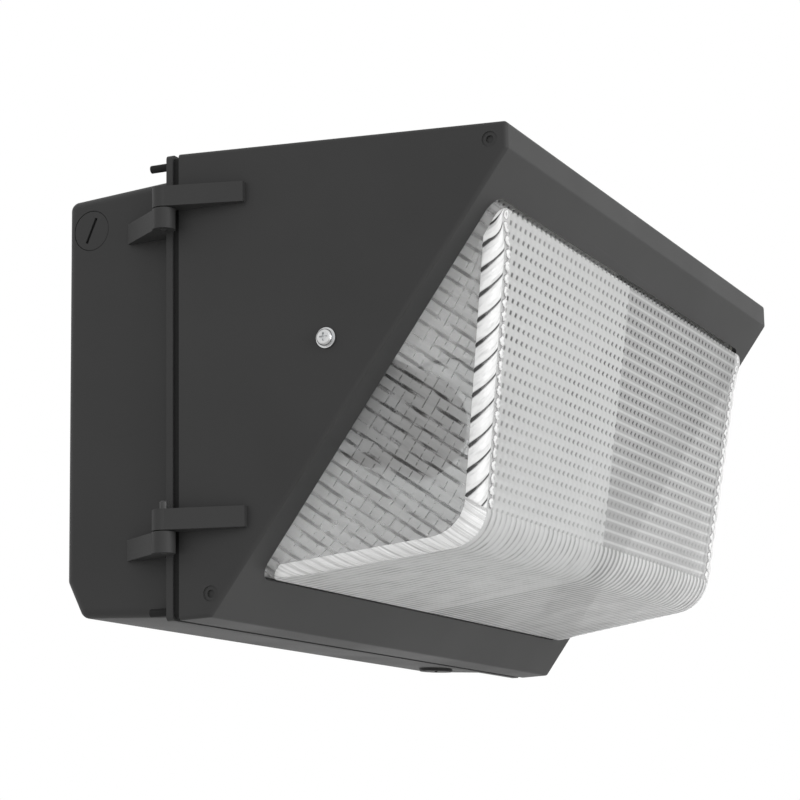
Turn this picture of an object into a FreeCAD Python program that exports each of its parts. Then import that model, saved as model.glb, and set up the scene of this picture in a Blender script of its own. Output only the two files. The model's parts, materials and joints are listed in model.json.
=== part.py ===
import FreeCAD, Part
import math
import os

# Wall pack light, millimetres.  X runs along the wall, +Y into the wall, +Z up.
# The origin is the centre of the box's rear face, on the wall.

# ---- door casting (the front housing) ----
DOOR_W = 457.0          # over the rear rim
DOOR_H = 235.0          # over the rear rim
DOOR_DEPTH = 175.0      # rim to lip, at the top
FOOT_DEPTH = 17.0       # rim to the foot of the slope, at the bottom
LIP_H = 13.5            # upright front edge above the slope
DOOR_DRAFT = 2.0        # degrees, on the sides, top and bottom
DOOR_WALL = 3.2
DOOR_EDGE_R = 2.2
FRAME_FOOT = 25.0       # slope left below the lens opening
FRAME_HEAD = 22.1       # and above it
FRAME_SIDE = 22.5       # from the rim's side to the opening
OPEN_R = 10.0

# ---- back box casting ----
BOX_DEPTH = 69.0        # wall to the flange's front face
BOX_INSET_SIDE = 9.0    # box side behind the flange's edge
BOX_INSET_TOP = 9.2
BOX_INSET_BOTTOM = 2.6
BOX_DRAFT = 3.0
BOX_WALL = 3.5
BOX_BACK = 4.5
BOX_EDGE_R = 5.0
BOX_CHIN_UP = 18.0      # slanted lower rear corner, height
BOX_CHIN_IN = 9.0       # and depth
FLANGE_T = 3.6

# ---- door seal ----
SEAL_T = 3.2
SEAL_W = 5.0
SEAL_RECESS = 1.4       # seal's edge inside the flange's edge
SEAL_TAIL_R = 2.0
SEAL_TAIL_LEN = 11.0
TAIL_INSET_X = 4.6
TAIL_INSET_Z = 4.8
FACE_GAP = 0.3          # between the door and what it closes on

# ---- hinges ----
PIN_R = 2.0
PIN_CLEAR = 0.08        # running fit in the box knuckles
PIN_STUB = 4.5          # lower pin above its arm
BARREL_R = 5.8
BARREL_OUT = 7.0        # pin axis outside the door's side
PIN_BACK = 4.5          # pin axis behind the door's rim
ARM_H = 10.3
ARM_LEN = 37.0          # forward of the rim
ARM_TIP_T = 2.8
KNUCKLE_H = 10.5
KNUCKLE_LEN = 30.0      # web along the box's side
KNUCKLE_GAP = 0.5
HINGE_LOW = 43.0        # lower arm's underside above the door's lower edge
HINGE_HIGH_DROP = 29.8  # upper arm's underside below its upper edge

# ---- door screws at the right-hand ears ----
EAR_OUT = 19.0
EAR_W = 17.0
EAR_DOOR_T = 10.0
EAR_BOX_T = 12.0
EAR_LOW = 48.0          # lower ear above the door's lower edge
EAR_HIGH_DROP = 27.0    # upper ear below its upper edge
EAR_HOLE_OUT = 10.0
SCREW_THREAD_R = 3.0
SCREW_NECK_R = 2.4
SCREW_THREAD_LEN = 8.0
SCREW_BITE = 8.0        # thread inside the box's ear
SCREW_CLEAR = 0.35
EAR_COUNTERBORE = 5.0
SCREW_HEAD_R = 5.4
SCREW_HEAD_H = 4.2
SCREW_SLOT_W = 1.4
WASHER_R = 6.8
WASHER_T = 1.2

# ---- lens, its seal and clips ----
LENS_GAP = 2.5          # lens body inside the opening
LENS_T = 4.5
LENS_SKIRT = 4.0        # upright skirt in front of the frame
LENS_BULGE = 79.4       # nose in front of the frame, before rounding
LENS_NOSE_UP = 72.0     # nose up the slope from the skirt's foot
LENS_DRAFT = 13.5
LENS_NOSE_R = 22.0
LENS_SIDE_R = 11.0
LENS_FLANGE = 6.0       # flange outside the opening
LENS_FLANGE_T = 5.0
LENS_SEAL_T = 2.5
LENS_SEAL_EDGE = 1.0    # seal inside the flange's edges
CLIP_W = 14.0
CLIP_T = 1.5
CLIP_BITE = 5.0
CLIP_EDGE = 4.2         # clip screw outside the lens flange
CLIP_TOP_X = 110.0
CLIP_LOW_U = 60.0       # side clips, above the slope's foot
CLIP_HIGH_DROP = 76.6   # and below its upper end
CLIP_BOSS_R = 3.6
CLIP_SCREW_R = 1.5
CLIP_SCREW_LEN = 8.0
CLIP_HEAD_R = 2.9
CLIP_HEAD_H = 2.0
CLIP_CROSS_W = 0.75

# ---- reflector and lamp ----
SHEET_T = 0.9
CREASE_R = 0.7          # rolled crease along the reflector's rearmost line
REFLECTOR_SIDE_GAP = 10.0   # sheet's end inside the opening
REFLECTOR_BACK = 8.0    # sheet in front of the rim plane
REFLECTOR_TOP_DROP = 22.0   # upper edge below the door's upper edge
REFLECTOR_CLEAR = 11.0  # upper edge behind the lens clips' screws
REFLECTOR_ROOF_DROP = 7.0
REFLECTOR_WAIST_RISE = 2.5  # rearmost line above the middle
REFLECTOR_FLOOR_BOW = 1.5
REFLECTOR_LOW = 27.0
REFLECTOR_LOW_DEPTH = 18.0
LAMP_DROP = 12.5        # lamp axis below the middle
LAMP_BEHIND = 13.8      # lamp axis behind the slope, level
LAMP_R = 44.5
LAMP_NECK_R = 19.0
LAMP_LEN = 212.0
LAMP_IN = 78.5          # foot of the lamp's base, from the rim's left side
LAMP_BASE_R = 19.3
LAMP_BASE_LEN = 36.0
LAMP_FOOT_LEN = 8.0
LAMP_FOOT_R = 6.5
LAMP_SHOULDER = 40.0
GLASS_T = 1.2
ARC_R = 9.0
ARC_LEN = 74.0
ARC_X = 127.0           # middle of the arc tube from the lamp's foot
ARC_ROUND = 5.4
ARC_WIRE_R = 0.8
ARC_WIRE_OUT = 4.0
ARC_STEM_LEN = 22.0
SOCKET_R = 28.0
SOCKET_LEN = 52.0
SOCKET_EDGE_R = 2.0
SOCKET_CLEAR = 1.2      # round the lamp's base
SOCKET_FLOOR = 2.0      # behind the lamp's foot
CONTACT_R = 5.0
CONTACT_TIP_R = 2.0
CONTACT_T = 1.0
SOCKET_BITE = 33.0      # base depth inside the socket
BRACKET_T = 1.6
BRACKET_LOW = 20.0      # bracket below and above the lamp axis
BRACKET_HIGH = 23.0
BRACKET_SHIFT = 16.0    # bracket's web behind the lamp axis
BRACKET_TOE = 10.0      # bracket in front of the side screw
SOCKET_HOLE_R = 30.0
TAB_W = 30.0
SIDE_SCREW_RISE = 14.5  # above the middle
SIDE_SCREW_BEHIND = 33.7    # behind the slope, level
SIDE_SCREW_R = 2.4
SIDE_SCREW_LEN = 14.0
SIDE_BOSS_R = 7.0
SIDE_BOSS_H = 2.5
SIDE_WASHER_R = 5.1
SIDE_WASHER_T = 0.9
SIDE_HEAD_R = 4.2
SIDE_HEAD_H = 2.6
CROSS_W = 1.0           # cross recess in the screws' heads
HEAD_ROUND = 0.6        # rounded share of a pan head's height

# ---- blanking plugs in the door's sides ----
BLANK_R = 3.9
BLANK_RECESS = 0.6
BLANK_DIMPLE = 1.0
BLANK_FRONT = 9.0       # upper plug behind the lip
BLANK_DROP = 14.5       # and below the door's upper edge
BLANK_REAR = 17.0       # lower plug in front of the rim
BLANK_UP = 12.0         # and above the door's lower edge

# ---- conduit entries and wall fixing ----
ENTRY_R = 10.6
ENTRY_BOSS = 4.0
ENTRY_DEPTH = 10.0
PLUG_LEN = 9.0
PLUG_EDGE = 0.5
PLUG_SLOT_W = 1.6
PLUG_SLOT_LEN = 14.0
PLUG_SLOT_DEPTH = 1.6
PLUG_SLOT_TURN = -25.0  # degrees off upright
REAR_ENTRY_LEN = 12.5
SIDE_ENTRY_BACK = 14.5  # in front of the wall
SIDE_ENTRY_DROP = 30.0  # below the door's upper edge
LOWER_ENTRY_IN = 54.5   # from the rim's right side
LOWER_ENTRY_BACK = 33.5
LOWER_PLUG_PROUD = 2.0
WALL_HOLE_R = 3.6
WALL_HOLE_DX = 370.0
WALL_HOLE_DZ = 150.0

# ---- control gear in the box ----
CORE_W = 92.0
CORE_H = 76.0
CORE_T = 34.0
CORE_IN = 116.5         # from the rim's right side
CORE_Z = -22.0
CORE_WINDOW_W = 15.0
CORE_WINDOW_H = 44.0
CORE_LEG = 28.0
COIL_OUT = 11.0
COIL_CLEAR = 0.4
CORE_OFF_BACK = 14.0    # core above the box's floor plate
BRACKET_FOOT = 14.0
GEAR_SCREW_R = 2.4
GEAR_HEAD_R = 4.3
GEAR_HEAD_H = 2.9
GEAR_BOSS_H = 6.0
GEAR_BOSS_R = 5.5
CAN_W = 50.0
CAN_D = 32.0
CAN_H = 92.0
CAN_X = -72.0
CAN_Z = -30.0
CAN_TAB_H = 8.0
CAN_TAB_W = 6.0
CAN_TAB_T = 0.8
CAN_TAB_X = 10.0
CAN_OFF = 1.5           # can in front of its strap's feet
STRAP_W = 14.0
STRAP_T = 1.0
STARTER_R = 17.0
STARTER_H = 60.0
STARTER_X = -128.0
STARTER_Z = -46.0
STARTER_LUG = 16.0
STARTER_EDGE_R = 2.0
BLOCK_W = 54.0
BLOCK_D = 20.0
BLOCK_H = 22.0
BLOCK_IN = 78.5         # from the rim's left side
BLOCK_Z = 34.0
BLOCK_WAYS = 4
BLOCK_RIB_GAP = 1.2
BLOCK_RIB_DEPTH = 6.0
GROUND_X = -80.0
GROUND_Z = 70.0

V = FreeCAD.Vector
X_AXIS = V(1, 0, 0)
Y_AXIS = V(0, 1, 0)
Z_AXIS = V(0, 0, 1)


# ---- places worked out from the sizes above ----
RIM_Y = -(BOX_DEPTH + SEAL_T + FACE_GAP)        # the door's rear rim
FLANGE_Y = -BOX_DEPTH                           # the box flange's front face
PIN_X = -DOOR_W / 2 - BARREL_OUT
PIN_Y = RIM_Y + PIN_BACK
EAR_X = DOOR_W / 2 + EAR_HOLE_OUT
HINGE_HEIGHTS = (HINGE_LOW, DOOR_H - HINGE_HIGH_DROP)
EAR_HEIGHTS = (EAR_LOW, DOOR_H - EAR_HIGH_DROP)
OPEN_W = DOOR_W - 2 * FRAME_SIDE
REFLECTOR_HALF = OPEN_W / 2 - REFLECTOR_SIDE_GAP
LAMP_X = LAMP_IN - DOOR_W / 2
LAMP_UP = DOOR_H / 2 - LAMP_DROP
SIDE_SCREW_UP = DOOR_H / 2 + SIDE_SCREW_RISE
CORE_X = DOOR_W / 2 - CORE_IN
BLOCK_X = BLOCK_IN - DOOR_W / 2
LOWER_ENTRY_X = DOOR_W / 2 - LOWER_ENTRY_IN
HALF_SPACE = 2 * DOOR_W                         # longer than anything it cuts
OVERSHOOT = 1.0                                 # how far a cut runs past a face
PICK = 1.0                                      # nearness that picks an edge


def up(height):
    """A height above the door's lower edge, as Z."""
    return height - DOOR_H / 2


def front(depth):
    """A depth in front of the door's rim, as Y."""
    return RIM_Y - depth


def tan(degrees):
    return math.tan(math.radians(degrees))


# ---- solid helpers ----
def block(x0, x1, y0, y1, z0, z1):
    return Part.makeBox(x1 - x0, y1 - y0, z1 - z0, V(x0, y0, z0))


def rod(start, axis, radius, length):
    return Part.makeCylinder(radius, length, start, axis)


def prism(points, direction):
    return Part.Face(Part.makePolygon(points + [points[0]])).extrude(direction)


def mirrored(shape):
    return shape.mirror(V(0, 0, 0), X_AXIS)


def edges_along(shape, axis, wanted):
    """Straight edges along an axis whose middle meets a condition."""
    found = []
    for edge in shape.Edges:
        if isinstance(edge.Curve, Part.Line):
            if abs(edge.Curve.Direction.dot(axis)) > 0.999 and wanted(edge.CenterOfMass):
                found.append(edge)
    return found


def inset_outline(points, insets):
    """Move each edge of a convex, anticlockwise outline inwards."""
    lines = []
    for i, (a0, b0) in enumerate(points):
        a1, b1 = points[(i + 1) % len(points)]
        length = math.hypot(a1 - a0, b1 - b0)
        normal = ((b0 - b1) / length, (a1 - a0) / length)
        lines.append((normal[0], normal[1], normal[0] * a0 + normal[1] * b0 + insets[i]))
    result = []
    for i, (p1, q1, c1) in enumerate(lines):
        p0, q0, c0 = lines[i - 1]
        det = p0 * q1 - p1 * q0
        result.append(((c0 * q1 - c1 * q0) / det, (p0 * c1 - p1 * c0) / det))
    return result


def side_profile(outline):
    """A Y-Z outline made into a long bar along X."""
    return prism([V(-HALF_SPACE / 2, y, z) for y, z in outline], V(HALF_SPACE, 0, 0))


def rounded_plate(width, low, high, radius, base, thickness):
    """A rounded plate centred on X, from y = low to high."""
    plate = block(-width / 2, width / 2, low, high, base, base + thickness)
    return plate.makeFillet(radius, edges_along(plate, Z_AXIS, lambda p: True))


def save(name, solids):
    shape = solids[0] if len(solids) == 1 else Part.makeCompound(solids)
    for solid in shape.Solids:
        if not solid.isValid():
            raise ValueError(name + " is not a valid solid")
    shape.exportStep("parts/" + name + ".step")


# ---- the door's outline and the slope that carries the lens ----
def door_outline():
    """The door's side view, anticlockwise in y and z, from the rim's lower edge."""
    top = up(DOOR_H - DOOR_DEPTH * tan(DOOR_DRAFT))
    foot = up(FOOT_DEPTH * tan(DOOR_DRAFT))
    return [(RIM_Y, up(0)), (RIM_Y, up(DOOR_H)), (front(DOOR_DEPTH), top),
            (front(DOOR_DEPTH), top - LIP_H), (front(FOOT_DEPTH), foot)]


def door_half_width(y):
    return DOOR_W / 2 - (RIM_Y - y) * tan(DOOR_DRAFT)


def door_block(rim_inset, wall):
    """The door's outer shape with its faces moved inwards."""
    outline = inset_outline(door_outline(), [rim_inset] + [wall] * 4)
    rear = RIM_Y - rim_inset
    nose = front(DOOR_DEPTH + OVERSHOOT)
    wide = door_half_width(rear) - wall
    narrow = door_half_width(nose) - wall
    plan = [V(-wide, rear, up(0)), V(wide, rear, up(0)), V(narrow, nose, up(0)), V(-narrow, nose, up(0))]
    plan = [p - V(0, 0, DOOR_H) for p in plan]
    return side_profile(outline).common(prism(plan, V(0, 0, 3 * DOOR_H)))


LIP_POINT = V(0, *door_outline()[3])
FOOT_POINT = V(0, *door_outline()[4])
SLOPE_LEN = (LIP_POINT - FOOT_POINT).Length
UPSLOPE = (LIP_POINT - FOOT_POINT).normalize()
OUTWARD = X_AXIS.cross(UPSLOPE)
OPEN_TOP = SLOPE_LEN - FRAME_HEAD
FLANGE_BACK = -DOOR_WALL - LENS_SEAL_T - LENS_FLANGE_T      # behind the lens flange


def slope_depth(height):
    """Depth of the slope in front of the rim, at a height above the door's lower edge."""
    share = (up(height) - FOOT_POINT.z) / (LIP_POINT.z - FOOT_POINT.z)
    return FOOT_DEPTH + share * (DOOR_DEPTH - FOOT_DEPTH)


LAMP_DEPTH = slope_depth(LAMP_UP) - LAMP_BEHIND
SIDE_SCREW_DEPTH = slope_depth(SIDE_SCREW_UP) - SIDE_SCREW_BEHIND


def on_slope(shape):
    """Place a shape drawn as x, u up the slope and w out of it."""
    result = shape.copy()
    result.Placement = FreeCAD.Placement(FOOT_POINT, FreeCAD.Rotation(X_AXIS, UPSLOPE, OUTWARD, "XYZ"))
    return result


def slope_plate(margin, base, thickness):
    """The lens opening grown by a margin, as a plate."""
    return rounded_plate(OPEN_W + 2 * margin, FRAME_FOOT - margin, OPEN_TOP + margin,
                         OPEN_R + margin, base, thickness)


def clip_places():
    """Lens clip screws, as x, u and the way to the lens."""
    reach = LENS_FLANGE + CLIP_EDGE
    spots = [(x, OPEN_TOP + reach, V(0, -1, 0)) for x in (-CLIP_TOP_X, CLIP_TOP_X)]
    for u in (CLIP_LOW_U, SLOPE_LEN - CLIP_HIGH_DROP):
        spots.append((-OPEN_W / 2 - reach, u, V(1, 0, 0)))
        spots.append((OPEN_W / 2 + reach, u, V(-1, 0, 0)))
    return spots


def blank_places():
    """Depth from the rim and height of the blanking plugs in a side."""
    return [(DOOR_DEPTH - BLANK_FRONT, DOOR_H - BLANK_DROP), (BLANK_REAR, BLANK_UP)]


# ---- door ----
def door_ear(height):
    outer = DOOR_W / 2 + EAR_OUT
    inner = door_half_width(front(EAR_DOOR_T)) - DOOR_WALL / 2
    z = up(height)
    ear = block(inner, outer, front(EAR_DOOR_T), RIM_Y, z - EAR_W / 2, z + EAR_W / 2)
    ear = ear.makeFillet(EAR_W / 3, edges_along(ear, Y_AXIS, lambda p: p.x > outer - PICK))
    neck_hole = rod(V(EAR_X, front(EAR_DOOR_T), z), Y_AXIS, SCREW_NECK_R + SCREW_CLEAR, EAR_DOOR_T)
    thread_room = rod(V(EAR_X, RIM_Y - EAR_COUNTERBORE, z), Y_AXIS,
                      SCREW_THREAD_R + SCREW_CLEAR, EAR_COUNTERBORE)
    return ear.cut([neck_hole, thread_room])


def door_arm(height):
    """A hinge arm: a tapered lug on the door's left side with a round end."""
    tip = front(ARM_LEN)
    tip_side = -door_half_width(tip)
    root = front(FACE_GAP)
    z = up(height)
    outline = [V(PIN_X - BARREL_R, PIN_Y, z), V(tip_side - ARM_TIP_T, tip, z),
               V(tip_side + DOOR_WALL / 2, tip, z), V((DOOR_WALL - DOOR_W) / 2, root, z),
               V(PIN_X + BARREL_R, root, z), V(PIN_X + BARREL_R, PIN_Y, z)]
    arm = prism(outline, V(0, 0, ARM_H)).fuse(rod(V(PIN_X, PIN_Y, z), Z_AXIS, BARREL_R, ARM_H))
    return arm.cut(rod(V(PIN_X, PIN_Y, z), Z_AXIS, PIN_R, ARM_H))


def side_seat():
    """Inner face of the side bosses, as a distance from the middle."""
    return door_half_width(front(SIDE_SCREW_DEPTH)) - DOOR_WALL - SIDE_BOSS_H


def door_frame():
    outer = door_block(0, 0)
    outer = outer.makeFillet(DOOR_EDGE_R, [e for e in outer.Edges if e.BoundBox.YMin < RIM_Y - PICK])
    shell = outer.cut(door_block(-OVERSHOOT, DOOR_WALL))
    additions = []
    for x, u, _ in clip_places():
        boss = rod(V(x, u, FLANGE_BACK), Z_AXIS, CLIP_BOSS_R, -FLANGE_BACK)
        additions.append(on_slope(boss).common(outer))
    seat = V(side_seat(), front(SIDE_SCREW_DEPTH), up(SIDE_SCREW_UP))
    boss = rod(seat, X_AXIS, SIDE_BOSS_R, DOOR_WALL + SIDE_BOSS_H).common(outer)
    additions += [boss, mirrored(boss)]
    additions += [door_arm(h) for h in HINGE_HEIGHTS]
    additions += [door_ear(h) for h in EAR_HEIGHTS]
    cuts = [on_slope(slope_plate(0, -DOOR_WALL - OVERSHOOT, DOOR_WALL + 2 * OVERSHOOT))]
    for x, u, _ in clip_places():
        hole = rod(V(x, u, FLANGE_BACK), Z_AXIS, CLIP_SCREW_R, CLIP_SCREW_LEN - CLIP_T)
        cuts.append(on_slope(hole))
    screw_hole = rod(seat, X_AXIS, SIDE_SCREW_R, DOOR_WALL + SIDE_BOSS_H + OVERSHOOT)
    cuts += [screw_hole, mirrored(screw_hole)]
    for depth, height in blank_places():
        inside = door_half_width(front(depth)) - DOOR_WALL - OVERSHOOT
        hole = rod(V(inside, front(depth), up(height)), X_AXIS, BLANK_R, DOOR_WALL + 2 * OVERSHOOT)
        cuts += [hole, mirrored(hole)]
    return shell.fuse(additions).cut(cuts)


def hinge_pin(height, stub):
    """A pin through a knuckle and its arm, with a stub above the arm."""
    foot = up(height) - KNUCKLE_GAP - KNUCKLE_H
    length = KNUCKLE_H + KNUCKLE_GAP + ARM_H + stub
    pin = rod(V(PIN_X, PIN_Y, foot), Z_AXIS, PIN_R, length)
    return pin.makeChamfer(PIN_R / 4, [pin.Edges[0], pin.Edges[2]])


def blank_plug(depth, height):
    outer = door_half_width(front(depth)) - BLANK_RECESS
    inner = door_half_width(front(depth)) - DOOR_WALL
    plug = rod(V(inner, front(depth), up(height)), X_AXIS, BLANK_R, outer - inner)
    dimple = V(outer - BLANK_DIMPLE, front(depth), up(height))
    return plug.cut(rod(dimple, X_AXIS, BLANK_R / 2, BLANK_DIMPLE))


# ---- lens ----
def lens_nose(inset):
    """The lens in front of its skirt, as x, u and w, with its faces moved inwards."""
    foot = FRAME_FOOT + LENS_GAP
    outline = [(foot, LENS_SKIRT), (OPEN_TOP - LENS_GAP, LENS_SKIRT), (foot + LENS_NOSE_UP, LENS_BULGE)]
    base_inset = -OVERSHOOT if inset else 0.0
    outline = inset_outline(outline, [base_inset, inset, inset])
    nose = side_profile(outline)
    nose = nose.makeFillet(LENS_NOSE_R - inset, edges_along(nose, X_AXIS, lambda p: p.z > LENS_SKIRT + PICK))
    half = OPEN_W / 2 - LENS_GAP - inset / math.cos(math.radians(LENS_DRAFT))
    base = LENS_SKIRT + base_inset
    wide = half - base_inset * tan(LENS_DRAFT)
    narrow = half - (LENS_BULGE - LENS_SKIRT) * tan(LENS_DRAFT)
    plan = [V(-wide, 0, base), V(wide, 0, base), V(narrow, 0, LENS_BULGE), V(-narrow, 0, LENS_BULGE)]
    nose = nose.common(prism(plan, V(0, SLOPE_LEN, 0)))
    sides = [e for e in nose.Edges if e.BoundBox.XLength < OPEN_W / 4 and e.BoundBox.ZLength > PICK]
    return nose.makeFillet(LENS_SIDE_R - inset, sides)


def lens_skirt(inset, base, top):
    return rounded_plate(OPEN_W - 2 * (LENS_GAP + inset), FRAME_FOOT + LENS_GAP + inset,
                         OPEN_TOP - LENS_GAP - inset, OPEN_R - LENS_GAP, base, top - base)


def lens():
    flange = slope_plate(LENS_FLANGE, FLANGE_BACK, LENS_FLANGE_T)
    body = flange.fuse([lens_skirt(0, FLANGE_BACK, LENS_SKIRT), lens_nose(0)])
    hollow = lens_nose(LENS_T).fuse(lens_skirt(LENS_T, FLANGE_BACK - OVERSHOOT, LENS_SKIRT - OVERSHOOT / 2))
    return on_slope(body.cut(hollow).removeSplitter())


def lens_seal():
    base = FLANGE_BACK + LENS_FLANGE_T
    ring = slope_plate(LENS_FLANGE - LENS_SEAL_EDGE, base, LENS_SEAL_T)
    return on_slope(ring.cut(slope_plate(LENS_SEAL_EDGE, base, LENS_SEAL_T)))


def lens_clip(x, u, toward):
    """A flat clip from its boss over the lens flange."""
    reach = CLIP_EDGE + CLIP_BITE
    half = CLIP_W / 2
    across = V(toward.y, toward.x, 0) * half
    start = V(x, u, FLANGE_BACK - CLIP_T) - toward * CLIP_BOSS_R
    end = V(x, u, FLANGE_BACK - CLIP_T) + toward * reach
    plate = prism([start - across, end - across, end + across, start + across], V(0, 0, CLIP_T))
    return on_slope(plate.cut(rod(V(x, u, FLANGE_BACK - CLIP_T), Z_AXIS, CLIP_SCREW_R, CLIP_T)))


def pan_head(seat, outward, radius, height, recess):
    """A domed screw head with a cross recess."""
    head = rod(seat, outward, radius, height)
    rim = [e for e in head.Edges if (e.CenterOfMass - seat).dot(outward) > height / 2
           and isinstance(e.Curve, Part.Circle)]
    head = head.makeFillet(height * HEAD_ROUND, rim)
    side = Z_AXIS if abs(outward.z) < 0.5 else Y_AXIS
    other = outward.cross(side)
    top = seat + outward * height
    for along, wide in ((side, other), (other, side)):
        corner = top - along * radius / 2 - wide * recess / 2 - outward * height / 2
        points = [corner, corner + along * radius, corner + along * radius + wide * recess,
                  corner + wide * recess]
        head = head.cut(prism(points, outward * height))
    return head


def clip_screw(x, u):
    seat = V(x, u, FLANGE_BACK - CLIP_T)
    head = pan_head(seat, V(0, 0, -1), CLIP_HEAD_R, CLIP_HEAD_H, CLIP_CROSS_W)
    return on_slope(head.fuse(rod(seat, Z_AXIS, CLIP_SCREW_R, CLIP_SCREW_LEN)))


# ---- reflector ----
def reflector_curve():
    """Depth and height of the reflector's corners, from its upper edge down."""
    top = DOOR_H - REFLECTOR_TOP_DROP
    behind = CLIP_T + CLIP_HEAD_H + REFLECTOR_CLEAR - FLANGE_BACK
    top_depth = slope_depth(top) + behind / OUTWARD.y
    waist_up = DOOR_H / 2 + REFLECTOR_WAIST_RISE
    upper = (top_depth, top)
    roof = (top_depth / 2, top - REFLECTOR_ROOF_DROP)
    waist = (REFLECTOR_BACK, waist_up)
    floor = (REFLECTOR_BACK + REFLECTOR_FLOOR_BOW, (waist_up + REFLECTOR_LOW) / 2)
    lower = (REFLECTOR_LOW_DEPTH, REFLECTOR_LOW)
    return [upper, roof, waist], [waist, floor, lower]


def curve_point(place, x):
    return V(x, front(place[0]), up(place[1]))


def curved_sheet(places, low_x, high_x):
    """A sheet that follows an arc through three places."""
    outer_points = [curve_point(p, low_x) for p in places]
    circle = Part.Circle(*outer_points)
    shrink = (circle.Radius - SHEET_T) / circle.Radius
    inner_points = [circle.Center + (p - circle.Center) * shrink for p in outer_points]
    edges = [Part.Arc(*outer_points).toShape(), Part.Arc(*inner_points).toShape(),
             Part.makeLine(outer_points[2], inner_points[2]),
             Part.makeLine(inner_points[0], outer_points[0])]
    wire = Part.Wire(Part.__sortEdges__(edges))
    return Part.Face(wire).extrude(V(high_x - low_x, 0, 0))


def reflector_back():
    upper, lower = reflector_curve()
    sheets = [curved_sheet(places, -REFLECTOR_HALF, REFLECTOR_HALF) for places in (upper, lower)]
    crease = curve_point((lower[0][0] + SHEET_T / 2, lower[0][1]), -REFLECTOR_HALF)
    sheets.append(rod(crease, X_AXIS, CREASE_R, 2 * REFLECTOR_HALF))
    return sheets[0].fuse(sheets[1:])


def reflector_side():
    """The right-hand end panel with its bent tab, at +X."""
    upper, lower = reflector_curve()
    x = REFLECTOR_HALF
    edges = [Part.Arc(*[curve_point(p, x) for p in upper]).toShape(),
             Part.Arc(*[curve_point(p, x) for p in lower]).toShape(),
             Part.makeLine(curve_point(lower[2], x), curve_point(upper[0], x))]
    panel = Part.Face(Part.Wire(Part.__sortEdges__(edges))).extrude(V(SHEET_T, 0, 0))
    y0, y1 = front(SIDE_SCREW_DEPTH + TAB_W / 2), front(SIDE_SCREW_DEPTH - TAB_W / 2)
    shelf_z = up(SIDE_SCREW_UP + TAB_W / 2)
    seat = side_seat()
    shelf = block(x, seat, y0, y1, shelf_z, shelf_z + SHEET_T)
    tab = block(seat - SHEET_T, seat, y0, y1, shelf_z - TAB_W, shelf_z)
    hole = rod(V(seat - SHEET_T, front(SIDE_SCREW_DEPTH), up(SIDE_SCREW_UP)), X_AXIS, SIDE_SCREW_R, SHEET_T)
    return panel.fuse([shelf, tab]).cut(hole)


def reflector_left_side():
    panel = mirrored(reflector_side())
    socket_hole = rod(V(-REFLECTOR_HALF - 2 * SHEET_T, front(LAMP_DEPTH), up(LAMP_UP)), X_AXIS,
                      SOCKET_HOLE_R, 4 * SHEET_T)
    return panel.cut(socket_hole)


# ---- lamp and its socket ----
def lamp_point(x):
    return V(x, front(LAMP_DEPTH), up(LAMP_UP))


def socket_rear():
    return LAMP_X + SOCKET_BITE - SOCKET_LEN


def lamp_socket():
    body = rod(lamp_point(socket_rear()), X_AXIS, SOCKET_R, SOCKET_LEN)
    body = body.makeFillet(SOCKET_EDGE_R, [e for e in body.Edges if isinstance(e.Curve, Part.Circle)])
    mouth = rod(lamp_point(LAMP_X - SOCKET_FLOOR), X_AXIS, LAMP_BASE_R + SOCKET_CLEAR,
                SOCKET_BITE + SOCKET_FLOOR)
    return body.cut(mouth)


def socket_contact():
    """The sprung centre contact between the socket's floor and the lamp."""
    floor = lamp_point(LAMP_X - SOCKET_FLOOR)
    tip = rod(floor, X_AXIS, CONTACT_TIP_R, SOCKET_FLOOR)
    return rod(floor, X_AXIS, CONTACT_R, CONTACT_T).fuse(tip)


def socket_bracket():
    """A folded bracket from the left side screw to the back of the socket."""
    seat = -side_seat() + SHEET_T
    back = front(LAMP_DEPTH - BRACKET_SHIFT)
    low = up(LAMP_UP - BRACKET_LOW)
    high = up(LAMP_UP + BRACKET_HIGH)
    toe = front(SIDE_SCREW_DEPTH + BRACKET_TOE)
    foot = block(seat, seat + BRACKET_T, toe, back, up(SIDE_SCREW_UP - TAB_W * 2 / 3),
                 up(SIDE_SCREW_UP + TAB_W / 2))
    web = block(seat, socket_rear(), back - BRACKET_T, back, low, high)
    face = block(socket_rear() - BRACKET_T, socket_rear(), front(LAMP_DEPTH + SOCKET_R / 2), back, low, high)
    hole = rod(V(seat, front(SIDE_SCREW_DEPTH), up(SIDE_SCREW_UP)), X_AXIS, SIDE_SCREW_R, BRACKET_T)
    return foot.fuse([web, face]).cut(hole)


def lamp_profile(inset):
    """Radius along the lamp, from the base's mouth to the dome."""
    start = LAMP_X + LAMP_BASE_LEN
    end = LAMP_X + LAMP_LEN - inset
    radius = LAMP_R - inset
    neck = LAMP_NECK_R - inset
    belly_start = start + LAMP_SHOULDER
    belly_end = end - radius
    return start, end, radius, neck, belly_start, belly_end


def lamp_solid(inset):
    start, end, radius, neck, belly_start, belly_end = lamp_profile(inset)
    y, z = front(LAMP_DEPTH), up(LAMP_UP)
    mid = (start + belly_start) / 2
    half = (neck + radius) / 2
    points = [V(start, y, z), V(start, y, z + neck), V(mid, y, z + half), V(belly_start, y, z + radius),
              V(belly_end, y, z + radius), V(end, y, z)]
    dome_mid = V(belly_end + radius * math.cos(math.pi / 4), y, z + radius * math.sin(math.pi / 4))
    shoulder = Part.BSplineCurve()
    shoulder.interpolate(Points=[points[1], points[2], points[3]], InitialTangent=X_AXIS,
                         FinalTangent=X_AXIS)
    edges = [Part.makeLine(points[0], points[1]), shoulder.toShape(), Part.makeLine(points[3], points[4]),
             Part.Arc(points[4], dome_mid, points[5]).toShape(), Part.makeLine(points[5], points[0])]
    return Part.Face(Part.Wire(edges)).revolve(V(0, y, z), X_AXIS, 360)


def lamp_envelope():
    return lamp_solid(0).cut(lamp_solid(GLASS_T))


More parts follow.
